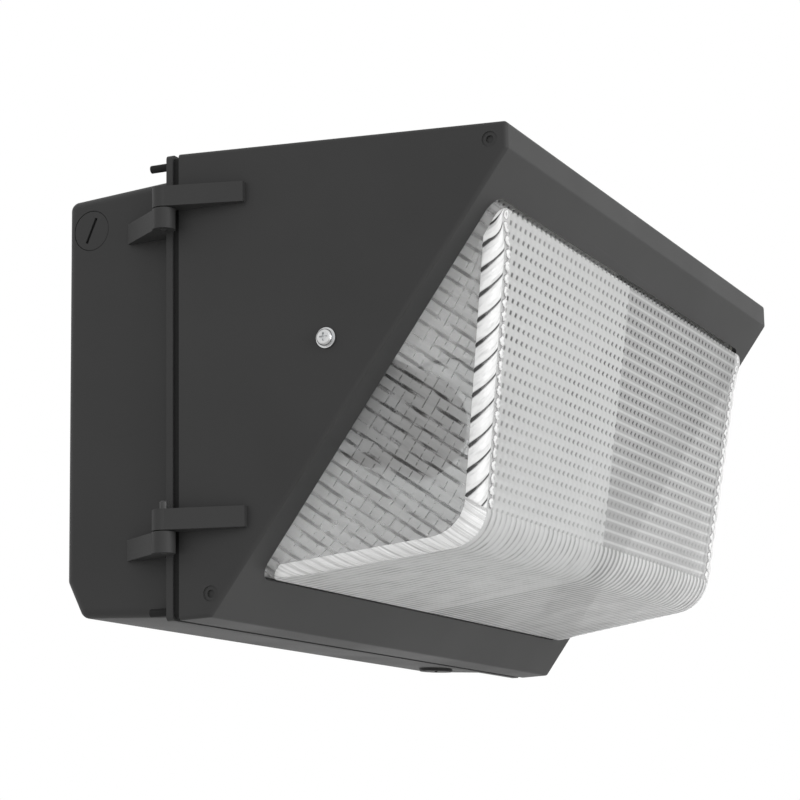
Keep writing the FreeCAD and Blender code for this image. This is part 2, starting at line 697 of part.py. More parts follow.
def lamp_base():
    """The screw shell, a plain sleeve at the thread's outer size, with its insulated foot."""
    shell = rod(lamp_point(LAMP_X + LAMP_FOOT_LEN), X_AXIS, LAMP_BASE_R, LAMP_BASE_LEN - LAMP_FOOT_LEN)
    cone = Part.makeCone(LAMP_FOOT_R, LAMP_BASE_R - GLASS_T, LAMP_FOOT_LEN, lamp_point(LAMP_X), X_AXIS)
    return shell.fuse(cone)


def arc_tube():
    middle = LAMP_X + ARC_X
    tube = rod(lamp_point(middle - ARC_LEN / 2), X_AXIS, ARC_R, ARC_LEN)
    return tube.makeFillet(ARC_ROUND, [e for e in tube.Edges if isinstance(e.Curve, Part.Circle)])


def arc_frame():
    """Two support wires from the stem to beyond the arc tube, with end straps."""
    start = LAMP_X + LAMP_BASE_LEN
    middle = LAMP_X + ARC_X
    end = middle + ARC_LEN / 2 + ARC_WIRE_OUT
    offset = ARC_R + ARC_WIRE_OUT
    stem = rod(lamp_point(start), X_AXIS, ARC_R, ARC_STEM_LEN)
    parts = []
    for side in (-1, 1):
        rail = lamp_point(start + ARC_STEM_LEN / 2) + V(0, 0, side * offset)
        parts.append(rod(rail, X_AXIS, ARC_WIRE_R, end - rail.x))
    for x in (start + ARC_STEM_LEN / 2, middle - ARC_LEN / 2 - ARC_WIRE_R, end - ARC_WIRE_R * 2):
        parts.append(rod(lamp_point(x) - V(0, 0, offset), Z_AXIS, ARC_WIRE_R, 2 * offset))
    parts.append(rod(lamp_point(middle + ARC_LEN / 2), X_AXIS, ARC_WIRE_R, ARC_WIRE_OUT))
    return stem.fuse(parts)


# ---- side screws through the door ----
def side_screw():
    """The right-hand screw and its washer, at +X."""
    place = V(0, front(SIDE_SCREW_DEPTH), up(SIDE_SCREW_UP))
    start = door_half_width(front(SIDE_SCREW_DEPTH - SIDE_WASHER_R))
    washer_seat = V(start, place.y, place.z)
    washer = rod(washer_seat, X_AXIS, SIDE_WASHER_R, SIDE_WASHER_T)
    washer = washer.cut(rod(washer_seat, X_AXIS, SIDE_SCREW_R, SIDE_WASHER_T))
    seat = washer_seat + X_AXIS * SIDE_WASHER_T
    head = pan_head(seat, X_AXIS, SIDE_HEAD_R, SIDE_HEAD_H, CROSS_W)
    shank = rod(seat - X_AXIS * SIDE_SCREW_LEN, X_AXIS, SIDE_SCREW_R, SIDE_SCREW_LEN)
    return head.fuse(shank), washer


# ---- back box ----
def box_half_width(y):
    return DOOR_W / 2 - BOX_INSET_SIDE - (y - FLANGE_Y) * tan(BOX_DRAFT)


def box_outline():
    """The box's side view, anticlockwise in y and z, from the chin's upper end."""
    taper = BOX_DEPTH * tan(BOX_DRAFT)
    low = up(BOX_INSET_BOTTOM)
    high = up(DOOR_H - BOX_INSET_TOP)
    return [(0, low + taper + BOX_CHIN_UP), (0, high - taper), (FLANGE_Y, high), (FLANGE_Y, low),
            (-BOX_CHIN_IN, low + (BOX_DEPTH - BOX_CHIN_IN) * tan(BOX_DRAFT))]


def box_block(back, front_inset, wall):
    outline = inset_outline(box_outline(), [back, wall, front_inset, wall, wall])
    near = FLANGE_Y + front_inset
    wide, narrow = box_half_width(near) - wall, box_half_width(0) - wall
    plan = [V(-wide, near, up(-DOOR_H)), V(wide, near, up(-DOOR_H)),
            V(narrow, 0, up(-DOOR_H)), V(-narrow, 0, up(-DOOR_H))]
    return side_profile(outline).common(prism(plan, V(0, 0, 3 * DOOR_H)))


def box_flange():
    plate = block(-DOOR_W / 2, DOOR_W / 2, FLANGE_Y, FLANGE_Y + FLANGE_T, up(0), up(DOOR_H))
    return plate.makeFillet(DOOR_EDGE_R, edges_along(plate, Y_AXIS, lambda p: True))


def box_knuckle(height):
    """A hinge knuckle with its web along the box's left side."""
    low = up(height) - KNUCKLE_GAP - KNUCKLE_H
    far = PIN_Y + KNUCKLE_LEN
    root = FLANGE_Y + FACE_GAP
    inside = BOX_WALL / 2
    outline = [V(PIN_X - BARREL_R, PIN_Y, low), V(PIN_X, root, low),
               V(inside - box_half_width(root), root, low), V(inside - box_half_width(far), far, low),
               V(-inside - box_half_width(far), far, low)]
    web = prism(outline, V(0, 0, KNUCKLE_H))
    barrel = rod(V(PIN_X, PIN_Y, low), Z_AXIS, BARREL_R, KNUCKLE_H)
    return web.fuse(barrel).cut(rod(V(PIN_X, PIN_Y, low), Z_AXIS, PIN_R + PIN_CLEAR, KNUCKLE_H))


def box_ear(height):
    outer = DOOR_W / 2 + EAR_OUT
    inner = DOOR_W / 2 - FLANGE_T
    z = up(height)
    ear = block(inner, outer, FLANGE_Y, FLANGE_Y + EAR_BOX_T, z - EAR_W / 2, z + EAR_W / 2)
    ear = ear.makeFillet(EAR_W / 3, edges_along(ear, Y_AXIS, lambda p: p.x > outer - PICK))
    web = prism([V(DOOR_W / 2, FLANGE_Y + FLANGE_T / 2, z - FLANGE_T / 2),
                 V(box_half_width(FLANGE_Y) - BOX_WALL / 2, FLANGE_Y + FLANGE_T / 2, z - FLANGE_T / 2),
                 V(box_half_width(FLANGE_Y) - BOX_WALL / 2, FLANGE_Y + EAR_BOX_T, z - FLANGE_T / 2),
                 V(DOOR_W / 2, FLANGE_Y + EAR_BOX_T, z - FLANGE_T / 2)], V(0, 0, FLANGE_T))
    return ear.fuse(web).cut(rod(V(EAR_X, FLANGE_Y, z), Y_AXIS, SCREW_THREAD_R + SCREW_CLEAR, EAR_BOX_T))


def side_entry():
    """Mouth and outward direction of the right-hand conduit entry."""
    mouth = V(box_half_width(-SIDE_ENTRY_BACK), -SIDE_ENTRY_BACK, up(DOOR_H - SIDE_ENTRY_DROP))
    return mouth, V(math.cos(math.radians(BOX_DRAFT)), math.sin(math.radians(BOX_DRAFT)), 0)


def lower_entry():
    rise = (BOX_DEPTH - LOWER_ENTRY_BACK) * tan(BOX_DRAFT)
    mouth = V(LOWER_ENTRY_X, -LOWER_ENTRY_BACK, up(BOX_INSET_BOTTOM) + rise)
    return mouth, V(0, math.sin(math.radians(BOX_DRAFT)), -math.cos(math.radians(BOX_DRAFT)))


def entry_tool(entry, radius, inside, outside):
    mouth, outward = entry
    return rod(mouth - outward * inside, outward, radius, inside + outside)


def entries():
    right = side_entry()
    left = (V(-right[0].x, right[0].y, right[0].z), V(-right[1].x, right[1].y, 0))
    return [left, right, lower_entry()]


def wall_holes():
    return [V(x, 0, z) for x in (-WALL_HOLE_DX / 2, WALL_HOLE_DX / 2)
            for z in (-WALL_HOLE_DZ / 2, WALL_HOLE_DZ / 2)]


def gear_screw_places():
    """Where the control gear is screwed to the box's back, as x and z."""
    ballast = [(CORE_X + side * (CORE_W / 2 + BRACKET_T + BRACKET_FOOT / 2), CORE_Z) for side in (-1, 1)]
    can = [(CAN_X + side * (CAN_W / 2 + STRAP_T + BRACKET_FOOT / 2), CAN_Z) for side in (-1, 1)]
    starter = [(STARTER_X, STARTER_Z + STARTER_H / 2 + STARTER_LUG / 2)]
    terminals = [(BLOCK_X, BLOCK_Z)]
    return ballast + can + starter + terminals


def back_box():
    body = box_block(0, 0, 0)
    rounded = [e for e in body.Edges if e.BoundBox.YMax > FLANGE_Y + PICK]
    body = body.makeFillet(BOX_EDGE_R, rounded)
    outer = body.fuse(box_flange())
    shell = outer.cut(box_block(BOX_BACK, -OVERSHOOT, BOX_WALL))
    additions = [box_knuckle(h) for h in HINGE_HEIGHTS] + [box_ear(h) for h in EAR_HEIGHTS]
    for entry in entries():
        additions.append(entry_tool(entry, ENTRY_R + ENTRY_BOSS, ENTRY_DEPTH, 0).common(body))
    additions.append(rod(V(0, -REAR_ENTRY_LEN, 0), Y_AXIS, ENTRY_R + ENTRY_BOSS, REAR_ENTRY_LEN))
    for x, z in gear_screw_places() + [(GROUND_X, GROUND_Z)]:
        additions.append(rod(V(x, -BOX_BACK - GEAR_BOSS_H, z), Y_AXIS, GEAR_BOSS_R, BOX_BACK + GEAR_BOSS_H))
    cuts = [entry_tool(entry, ENTRY_R, ENTRY_DEPTH + OVERSHOOT, OVERSHOOT) for entry in entries()]
    cuts.append(rod(V(0, -REAR_ENTRY_LEN, 0), Y_AXIS, ENTRY_R, REAR_ENTRY_LEN))
    cuts += [rod(p - Y_AXIS * BOX_BACK, Y_AXIS, WALL_HOLE_R, BOX_BACK) for p in wall_holes()]
    for x, z in gear_screw_places() + [(GROUND_X, GROUND_Z)]:
        cuts.append(rod(V(x, -BOX_BACK - GEAR_BOSS_H, z), Y_AXIS, GEAR_SCREW_R, GEAR_BOSS_H))
    cuts += seal_tails()
    return shell.fuse(additions).cut(cuts)


def conduit_plug(entry, proud):
    """A slotted threaded plug, drawn at the thread's outer size."""
    mouth, outward = entry
    length = PLUG_LEN + proud
    face = mouth + outward * proud
    plug = rod(face - outward * length, outward, ENTRY_R, length)
    rim = [e for e in plug.Edges if isinstance(e.Curve, Part.Circle)]
    plug = plug.makeChamfer(PLUG_EDGE, rim)
    across = Z_AXIS if abs(outward.z) < 0.5 else X_AXIS
    along = FreeCAD.Rotation(outward, PLUG_SLOT_TURN).multVec(across)
    wide = outward.cross(along)
    corner = face - along * PLUG_SLOT_LEN / 2 - wide * PLUG_SLOT_W / 2 - outward * PLUG_SLOT_DEPTH
    points = [corner, corner + along * PLUG_SLOT_LEN, corner + along * PLUG_SLOT_LEN + wide * PLUG_SLOT_W,
              corner + wide * PLUG_SLOT_W]
    return plug.cut(prism(points, outward * (PLUG_SLOT_DEPTH + OVERSHOOT)))


# ---- door seal ----
def seal_tails():
    """The seal's pull-through tails, one at each corner of the flange."""
    x = DOOR_W / 2 - TAIL_INSET_X
    tails = []
    for side in (-1, 1):
        for height in (TAIL_INSET_Z, DOOR_H - TAIL_INSET_Z):
            tails.append(rod(V(side * x, FLANGE_Y, up(height)), Y_AXIS, SEAL_TAIL_R,
                             FLANGE_T + SEAL_TAIL_LEN))
    return tails


def seal_ring(margin):
    return block(margin - DOOR_W / 2, DOOR_W / 2 - margin, FLANGE_Y - SEAL_T, FLANGE_Y,
                 up(margin), up(DOOR_H - margin))


def door_seal():
    outer = seal_ring(SEAL_RECESS)
    outer = outer.makeFillet(DOOR_EDGE_R, edges_along(outer, Y_AXIS, lambda p: True))
    return outer.cut(seal_ring(SEAL_RECESS + SEAL_W)).fuse(seal_tails())


# ---- control gear in the box ----
def core_middle():
    return -BOX_BACK - GEAR_BOSS_H - CORE_OFF_BACK - CORE_T / 2


def ballast_core():
    y = core_middle()
    core = block(CORE_X - CORE_W / 2, CORE_X + CORE_W / 2, y - CORE_T / 2, y + CORE_T / 2,
                 CORE_Z - CORE_H / 2, CORE_Z + CORE_H / 2)
    windows = []
    for side in (-1, 1):
        middle = CORE_X + side * (CORE_LEG + CORE_WINDOW_W) / 2
        windows.append(block(middle - CORE_WINDOW_W / 2, middle + CORE_WINDOW_W / 2,
                             y - CORE_T, y + CORE_T, CORE_Z - CORE_WINDOW_H / 2, CORE_Z + CORE_WINDOW_H / 2))
    return core.cut(windows)


def ballast_coil(low, high):
    """One winding on the centre leg, between two heights from the core's middle."""
    y = core_middle()
    clear = COIL_CLEAR
    inner_x, inner_y = CORE_LEG / 2 + clear, CORE_T / 2 + clear
    outer_x = CORE_LEG / 2 + CORE_WINDOW_W - clear
    outer_y = CORE_T / 2 + COIL_OUT
    z0, z1 = CORE_Z + low, CORE_Z + high
    coil = block(CORE_X - outer_x, CORE_X + outer_x, y - outer_y, y + outer_y, z0, z1)
    coil = coil.makeFillet(COIL_OUT / 2, edges_along(coil, Z_AXIS, lambda p: True))
    return coil.cut(block(CORE_X - inner_x, CORE_X + inner_x, y - inner_y, y + inner_y, z0, z1))


def ballast_coils():
    half = CORE_WINDOW_H / 2 - COIL_CLEAR
    return [ballast_coil(-half, -COIL_CLEAR * 2), ballast_coil(COIL_CLEAR * 2, half)]


def ballast_bracket(side):
    """An angle bracket from the core's side to the box's back."""
    y = core_middle()
    seat = -BOX_BACK - GEAR_BOSS_H
    inner = CORE_X + side * CORE_W / 2
    outer = inner + side * BRACKET_T
    tip = outer + side * BRACKET_FOOT
    low, high = CORE_Z - CORE_H / 3, CORE_Z + CORE_H / 3
    leg = block(min(inner, outer), max(inner, outer), y - CORE_T / 2, seat, low, high)
    foot = block(min(inner, tip), max(inner, tip), seat - BRACKET_T, seat, low, high)
    place = gear_screw_places()[0 if side < 0 else 1]
    return leg.fuse(foot).cut(rod(V(place[0], seat - BRACKET_T, place[1]), Y_AXIS, GEAR_SCREW_R, BRACKET_T))


def can_outline(width, depth, z):
    """The oval of the capacitor's can, as a face."""
    y = -BOX_BACK - GEAR_BOSS_H - CAN_D / 2 - CAN_OFF
    reach = (width - depth) / 2
    half = depth / 2
    edges = [Part.makeLine(V(CAN_X - reach, y - half, z), V(CAN_X + reach, y - half, z)),
             Part.Arc(V(CAN_X + reach, y - half, z), V(CAN_X + reach + half, y, z),
                      V(CAN_X + reach, y + half, z)).toShape(),
             Part.makeLine(V(CAN_X + reach, y + half, z), V(CAN_X - reach, y + half, z)),
             Part.Arc(V(CAN_X - reach, y + half, z), V(CAN_X - reach - half, y, z),
                      V(CAN_X - reach, y - half, z)).toShape()]
    return Part.Face(Part.Wire(edges))


def capacitor():
    low = CAN_Z - CAN_H / 2
    can = can_outline(CAN_W, CAN_D, low).extrude(V(0, 0, CAN_H))
    y = -BOX_BACK - GEAR_BOSS_H - CAN_D / 2 - CAN_OFF
    tabs = []
    for x in (CAN_X - CAN_TAB_X, CAN_X + CAN_TAB_X):
        tabs.append(block(x - CAN_TAB_W / 2, x + CAN_TAB_W / 2, y - CAN_TAB_T / 2, y + CAN_TAB_T / 2,
                          low + CAN_H - OVERSHOOT, low + CAN_H + CAN_TAB_H))
    return can.fuse(tabs)


def capacitor_strap():
    """A saddle over the can, screwed down on both sides."""
    low = CAN_Z - STRAP_W / 2
    seat = -BOX_BACK - GEAR_BOSS_H
    outer = can_outline(CAN_W + 2 * STRAP_T, CAN_D + 2 * STRAP_T, low).extrude(V(0, 0, STRAP_W))
    inner = can_outline(CAN_W, CAN_D, low).extrude(V(0, 0, STRAP_W))
    saddle = outer.cut(inner)
    reach = CAN_W / 2 + STRAP_T + BRACKET_FOOT
    feet = block(CAN_X - reach, CAN_X + reach, seat - STRAP_T, seat, low, low + STRAP_W)
    holes = [rod(V(x, seat - STRAP_T, z), Y_AXIS, GEAR_SCREW_R, STRAP_T) for x, z in gear_screw_places()[2:4]]
    return saddle.fuse(feet.cut(outer)).cut(holes)


def starter():
    """The lamp's ignitor: a potted can with a mounting lug."""
    seat = -BOX_BACK - GEAR_BOSS_H
    low = STARTER_Z - STARTER_H / 2
    can = rod(V(STARTER_X, seat - STARTER_R, low), Z_AXIS, STARTER_R, STARTER_H)
    can = can.makeFillet(STARTER_EDGE_R, [e for e in can.Edges if isinstance(e.Curve, Part.Circle)])
    x, z = gear_screw_places()[4]
    lug = block(x - STARTER_LUG / 2, x + STARTER_LUG / 2, seat - BRACKET_T, seat,
                STARTER_Z, z + STARTER_LUG / 2)
    return can.fuse(lug).cut(rod(V(x, seat - BRACKET_T, z), Y_AXIS, GEAR_SCREW_R, BRACKET_T))


def terminal_block():
    seat = -BOX_BACK - GEAR_BOSS_H
    body = block(BLOCK_X - BLOCK_W / 2, BLOCK_X + BLOCK_W / 2, seat - BLOCK_D, seat,
                 BLOCK_Z - BLOCK_H / 2, BLOCK_Z + BLOCK_H / 2)
    pitch = BLOCK_W / BLOCK_WAYS
    face = seat - BLOCK_D
    wells = []
    for way in range(BLOCK_WAYS):
        x = BLOCK_X + (way - (BLOCK_WAYS - 1) / 2) * pitch
        for side in (-1, 1):
            wells.append(rod(V(x, face, BLOCK_Z + side * BLOCK_H / 4), Y_AXIS, pitch / 4, BLOCK_RIB_DEPTH))
    for gap in range(1, BLOCK_WAYS):
        x = BLOCK_X - BLOCK_W / 2 + gap * pitch
        wells.append(block(x - BLOCK_RIB_GAP / 2, x + BLOCK_RIB_GAP / 2, face, face + BLOCK_RIB_DEPTH,
                           BLOCK_Z - BLOCK_H, BLOCK_Z + BLOCK_H))
    fixing = rod(V(BLOCK_X, seat - BLOCK_D, BLOCK_Z), Y_AXIS, GEAR_SCREW_R, BLOCK_D)
    return body.cut(wells + [fixing])


def gear_screw(x, z, under_head):
    seat = V(x, -BOX_BACK - GEAR_BOSS_H - under_head, z)
    head = pan_head(seat, V(0, -1, 0), GEAR_HEAD_R, GEAR_HEAD_H, CROSS_W)
    return head.fuse(rod(seat, Y_AXIS, GEAR_SCREW_R, under_head + GEAR_BOSS_H))


def gear_screws():
    under = [BRACKET_T, BRACKET_T, STRAP_T, STRAP_T, BRACKET_T]
    return [gear_screw(x, z, t) for (x, z), t in zip(gear_screw_places(), under)]


# ---- door screws ----
def screw_tip():
    return FLANGE_Y + SCREW_BITE


def washer_seat():
    return front(EAR_DOOR_T + FACE_GAP)


def screw_travel():
    """How far the thread moves before it meets the step in the door's ear."""
    shoulder = screw_tip() - SCREW_THREAD_LEN
    return shoulder - (RIM_Y - EAR_COUNTERBORE) - FACE_GAP


def door_washer(height):
    start = V(EAR_X, washer_seat() - WASHER_T, up(height))
    hole = rod(start, Y_AXIS, SCREW_NECK_R + SCREW_CLEAR, WASHER_T)
    return rod(start, Y_AXIS, WASHER_R, WASHER_T).cut(hole)


def door_screw(height):
    seat = V(EAR_X, washer_seat() - WASHER_T - FACE_GAP / 3, up(height))
    head = rod(seat - Y_AXIS * SCREW_HEAD_H, Y_AXIS, SCREW_HEAD_R, SCREW_HEAD_H)
    rim = [e for e in head.Edges if isinstance(e.Curve, Part.Circle) and e.CenterOfMass.y < seat.y - PICK]
    head = head.makeFillet(SCREW_HEAD_H / 3, rim)
    slot = block(seat.x - SCREW_HEAD_R, seat.x + SCREW_HEAD_R, seat.y - SCREW_HEAD_H,
                 seat.y - SCREW_HEAD_H / 2, seat.z - SCREW_SLOT_W / 2, seat.z + SCREW_SLOT_W / 2)
    shoulder = screw_tip() - SCREW_THREAD_LEN
    neck = rod(seat, Y_AXIS, SCREW_NECK_R, shoulder - seat.y)
    thread = rod(V(seat.x, shoulder, seat.z), Y_AXIS, SCREW_THREAD_R, SCREW_THREAD_LEN)
    ends = [e for e in thread.Edges if isinstance(e.Curve, Part.Circle)]
    thread = thread.makeChamfer(SCREW_THREAD_R / 4, ends)
    return head.cut(slot).fuse([neck, thread])


def main():
    os.makedirs("parts", exist_ok=True)
    save("back_box", [back_box()])
    plug_entries = entries()
    save("side_conduit_plugs", [conduit_plug(entry, 0) for entry in plug_entries[:2]])
    save("lower_conduit_plug", [conduit_plug(plug_entries[2], LOWER_PLUG_PROUD)])
    save("door_seal", [door_seal()])
    save("ballast_core", [ballast_core()])
    save("ballast_coils", ballast_coils())
    save("ballast_brackets", [ballast_bracket(-1), ballast_bracket(1)])
    save("capacitor", [capacitor()])
    save("capacitor_strap", [capacitor_strap()])
    save("ignitor", [starter()])
    save("terminal_block", [terminal_block()])
    save("gear_screws", gear_screws())
    save("terminal_block_screw", [gear_screw(BLOCK_X, BLOCK_Z, BLOCK_D)])
    save("ground_screw", [gear_screw(GROUND_X, GROUND_Z, FACE_GAP)])
    save("door_frame", [door_frame()])
    save("hinge_pins", [hinge_pin(h, stub) for h, stub in zip(HINGE_HEIGHTS, (PIN_STUB, 0))])
    blanks = [blank_plug(*place) for place in blank_places()]
    save("side_blanking_plugs", blanks + [mirrored(b) for b in blanks])
    save("lens", [lens()])
    save("lens_seal", [lens_seal()])
    save("lens_clips", [lens_clip(*place) for place in clip_places()])
    save("lens_clip_screws", [clip_screw(x, u) for x, u, _ in clip_places()])
    save("reflector_back", [reflector_back()])
    save("reflector_right_side", [reflector_side()])
    save("reflector_left_side", [reflector_left_side()])
    screw, washer = side_screw()
    save("side_screws", [screw, mirrored(screw)])
    save("side_screw_washers", [washer, mirrored(washer)])
    save("socket_bracket", [socket_bracket()])
    save("lamp_socket", [lamp_socket()])
    save("socket_contact", [socket_contact()])
    save("lamp_base", [lamp_base()])
    save("lamp_envelope", [lamp_envelope()])
    save("arc_tube", [arc_tube()])
    save("arc_frame", [arc_frame()])
    for name, height in zip(("lower", "upper"), EAR_HEIGHTS):
        save(name + "_door_screw", [door_screw(height)])
        save(name + "_screw_washer", [door_washer(height)])
    print("rim y", RIM_Y, "pin", PIN_X, PIN_Y, "ear x", EAR_X, "screw travel", screw_travel())


main()
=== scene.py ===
import json
import math

import bpy
from mathutils import Matrix, Vector


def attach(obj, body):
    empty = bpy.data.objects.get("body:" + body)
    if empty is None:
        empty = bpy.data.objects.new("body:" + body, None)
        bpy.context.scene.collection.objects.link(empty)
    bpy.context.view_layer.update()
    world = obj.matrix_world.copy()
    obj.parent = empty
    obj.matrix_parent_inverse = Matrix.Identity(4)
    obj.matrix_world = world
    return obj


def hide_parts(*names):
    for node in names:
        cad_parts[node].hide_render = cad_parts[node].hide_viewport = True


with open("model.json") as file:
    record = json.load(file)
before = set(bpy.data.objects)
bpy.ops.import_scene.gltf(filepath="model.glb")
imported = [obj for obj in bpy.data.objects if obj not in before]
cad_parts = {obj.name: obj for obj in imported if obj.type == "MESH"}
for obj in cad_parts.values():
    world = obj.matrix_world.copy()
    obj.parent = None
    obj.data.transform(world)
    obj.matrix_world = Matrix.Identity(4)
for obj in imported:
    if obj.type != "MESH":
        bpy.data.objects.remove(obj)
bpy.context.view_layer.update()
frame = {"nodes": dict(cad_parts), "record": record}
nodes = frame["nodes"]

# ---- view ----
EYE = Vector((-1.2444, -0.6471, -0.2346))
YAW = math.radians(65.87)
PITCH = math.radians(10.90)
ROLL = math.radians(-1.06)
LENS_MM = 108.0
SENSOR_MM = 36.0


def photo_camera():
    data = bpy.data.cameras.new("photo_camera")
    data.lens = LENS_MM
    data.sensor_width = SENSOR_MM
    data.clip_start = 0.05
    data.clip_end = 50.0
    camera = bpy.data.objects.new("photo_camera", data)
    bpy.context.scene.collection.objects.link(camera)
    ahead = Vector((math.sin(YAW) * math.cos(PITCH), math.cos(YAW) * math.cos(PITCH), math.sin(PITCH)))
    right = Vector((math.cos(YAW), -math.sin(YAW), 0))
    above = right.cross(ahead)
    rolled_right = right * math.cos(ROLL) + above * math.sin(ROLL)
    rolled_above = above * math.cos(ROLL) - right * math.sin(ROLL)
    turn = Matrix((rolled_right, rolled_above, -ahead)).transposed()
    camera.matrix_world = Matrix.Translation(EYE) @ turn.to_4x4()
    bpy.context.scene.camera = camera


# ---- light and surroundings ----
AMBIENT = 0.66
KEY_WATTS = 24
LEFT_WATTS = 3.6
LAMP_AIM = (0, -0.15, 0)
FLOOR_Z = -2.4
FLOOR_SIZE = 12.0


def area_lamp(name, place, aim, size, power):
    data = bpy.data.lights.new(name, "AREA")
    data.shape = "RECTANGLE"
    data.size, data.size_y = size
    data.energy = power
    lamp = bpy.data.objects.new(name, data)
    bpy.context.scene.collection.objects.link(lamp)
    lamp.location = place
    lamp.rotation_mode = "QUATERNION"
    lamp.rotation_quaternion = (Vector(aim) - Vector(place)).to_track_quat("-Z", "Y")


def white_surroundings(ambient):
    world = bpy.data.worlds.new("studio_surroundings")
    bpy.context.scene.world = world
    world.use_nodes = True
    tree = world.node_tree
    tree.nodes.clear()
    path = tree.nodes.new("ShaderNodeLightPath")
    seen = tree.nodes.new("ShaderNodeMath")
    seen.operation = "MAXIMUM"
    tree.links.new(path.outputs["Is Camera Ray"], seen.inputs[0])
    tree.links.new(path.outputs["Is Glossy Ray"], seen.inputs[1])
    shown = tree.nodes.new("ShaderNodeMath")
    shown.operation = "MAXIMUM"
    tree.links.new(seen.outputs[0], shown.inputs[0])
    tree.links.new(path.outputs["Is Transmission Ray"], shown.inputs[1])
    soft = tree.nodes.new("ShaderNodeBackground")
    soft.inputs["Color"].default_value = (1, 1, 1, 1)
    soft.inputs["Strength"].default_value = ambient
    white = tree.nodes.new("ShaderNodeBackground")
    white.inputs["Color"].default_value = (1, 1, 1, 1)
    white.inputs["Strength"].default_value = 1.0
    mix = tree.nodes.new("ShaderNodeMixShader")
    tree.links.new(shown.outputs[0], mix.inputs[0])
    tree.links.new(soft.outputs[0], mix.inputs[1])
    tree.links.new(white.outputs[0], mix.inputs[2])
    output = tree.nodes.new("ShaderNodeOutputWorld")
    tree.links.new(mix.outputs[0], output.inputs["Surface"])


def pale_floor():
    bpy.ops.mesh.primitive_plane_add(size=FLOOR_SIZE, location=(0, 0, FLOOR_Z))
    floor = bpy.context.object
    floor.name = "floor"
    material, _, shader = new_material("pale_floor")
    shader.inputs["Base Color"].default_value = (0.86, 0.86, 0.85, 1)
    shader.inputs["Roughness"].default_value = 0.9
    floor.data.materials.append(material)


# ---- lens, on the door's slope: X across, Y up the slope, Z outward ----
SLOPE_FOOT = Vector((0, -0.0895, -0.116906))
UPSLOPE = Vector((0, -0.59256, 0.80556))
OUTWARD = Vector((0, -0.80556, -0.59256))
UP_START = UPSLOPE.dot(SLOPE_FOOT)
RIM_LOW = 0.0275            # lens body's lower edge up the slope
RIM_HIGH = 0.24204
RIM_HALF = 0.2035
RIM_CORNER = 0.0075
SKIRT = 0.004               # smooth edge in front of the frame
NOSE_UP = 0.0995
NOSE_OUT = 0.0794
NOSE_R = 0.022
SIDE_DRAFT = math.radians(13.5)
EDGE_R = 0.011
EDGE_SHIFT = 0.788          # share of the edge's radius that its centre is set in
GLASS = 0.0045
LOW_SLANT = 1.38            # glass thickness as met along the rim, at its lower edge
HIGH_SLANT = 2.14           # and at its upper edge
FLANGE_BACK = -0.0057
FLANGE_REAR = -0.0107
FLANGE_HALF = 0.212
FLANGE_LOW = 0.019
FLANGE_HIGH = 0.2505
RIB = 0.006025              # cross ribs up the front
FLUTE = 0.0065              # flutes on the inside
SIDE_RIB = 0.0062
ROPE = 2 * RIB              # lobes along the front's two edges
ROPE_LEAN = 1.45            # lobes that the rope turns by across the edge
BEAD_IN = 0.0034            # bead column beside the rope
BEAD_R = 0.0028
BEAD_SPAN = 0.175           # edge to middle, at the front's mid-height
UNDER_SHARE = -0.12         # the edge's pattern under the nose lies at negative places
MIRROR_LINE = -0.013        # where the front's two prism patterns meet; past it the front and nose carry a painted shade
MIRROR_SOFT = 0.0002
MARK_RISE = RIB * 0.884     # a front rib's share of the slope
MARK_LEAN = -0.18           # the marks' columns lean this far off the slope
MARKS_FAINT = UP_START + 0.115
MARKS_FULL = UP_START + 0.2

# ---- the way the relief stands: up the slope, and outward ----
UNDER_TILT, FRONT_TILT = -0.45, 0.47
OUT_TILT = 0.88

# ---- heights of the glass's relief ----
FADE_IN = 0.008             # relief is full this far in front of the skirt
FRONT_RIB_H = 0.0005
SIDE_RIB_H = 0.0006
UNDER_RIB_H = 0.0008
ROPE_H = 0.0022
BEAD_H = 0.0017
BEAD_SINK = 0.0004
FLUTE_H = 0.0008
SIDE_FLUTE_H = 0.0006

# ---- steps of the lens's two sheets ----
OUTER_LINE_STEPS = (88, 16, 192)    # under, round the nose, up the front
INNER_LINE_STEPS = (10, 8, 22)
OUTER_SIDE_STEPS, OUTER_EDGE_STEPS = 12, 20
INNER_SIDE_STEPS, INNER_EDGE_STEPS = 60, 6
BEAD_STEPS, PLAIN_STEPS = 11, 8
FLUTE_STEPS = 146
GLASS_SURFACES = ("front_glass", "side_glass", "edge_glass", "nose_glass", "inner_glass", "bead_glass")


def rounded(phase):
    """A row of round ribs, 0 at their valleys and 1 at their crowns."""
    return math.sqrt(max(0.0, 1 - (2 * (phase % 1.0) - 1) ** 2))


def middle_line(inset, bottom_steps, nose_steps, front_steps):
    """The glass's middle line over its nose, as (up, out, way along, part)."""
    low = Vector((NOSE_UP - RIM_LOW, NOSE_OUT - SKIRT)).normalized()
    high = Vector((RIM_HIGH - NOSE_UP, SKIRT - NOSE_OUT)).normalized()
    low_out = Vector((-low.y, low.x))
    high_out = Vector((-high.y, high.x))
    nose = Vector((NOSE_UP, NOSE_OUT)) - (low_out + high_out) * inset / (1 + low_out.dot(high_out))
    radius = NOSE_R - inset
    turn = low.angle(high)
    before = nose - low * radius * math.tan(turn / 2)
    after = nose + high * radius * math.tan(turn / 2)
    start = before - low * (before.y - SKIRT) / low.y
    end = after - high * (after.y - SKIRT) / high.y
    centre = before - low_out * radius
    line = []
    for step in range(bottom_steps):
        spot = start.lerp(before, step / bottom_steps)
        line.append((spot.x, spot.y, (spot - before).length, "bottom"))
    for step in range(nose_steps):
        angle = turn * step / nose_steps
        out = low_out * math.cos(angle) + low * math.sin(angle)
        spot = centre + out * radius
        line.append((spot.x, spot.y, angle * radius, "nose"))
    for step in range(front_steps + 1):
        spot = after.lerp(end, step / front_steps)
        line.append((spot.x, spot.y, (spot - after).length, "front"))
    return line


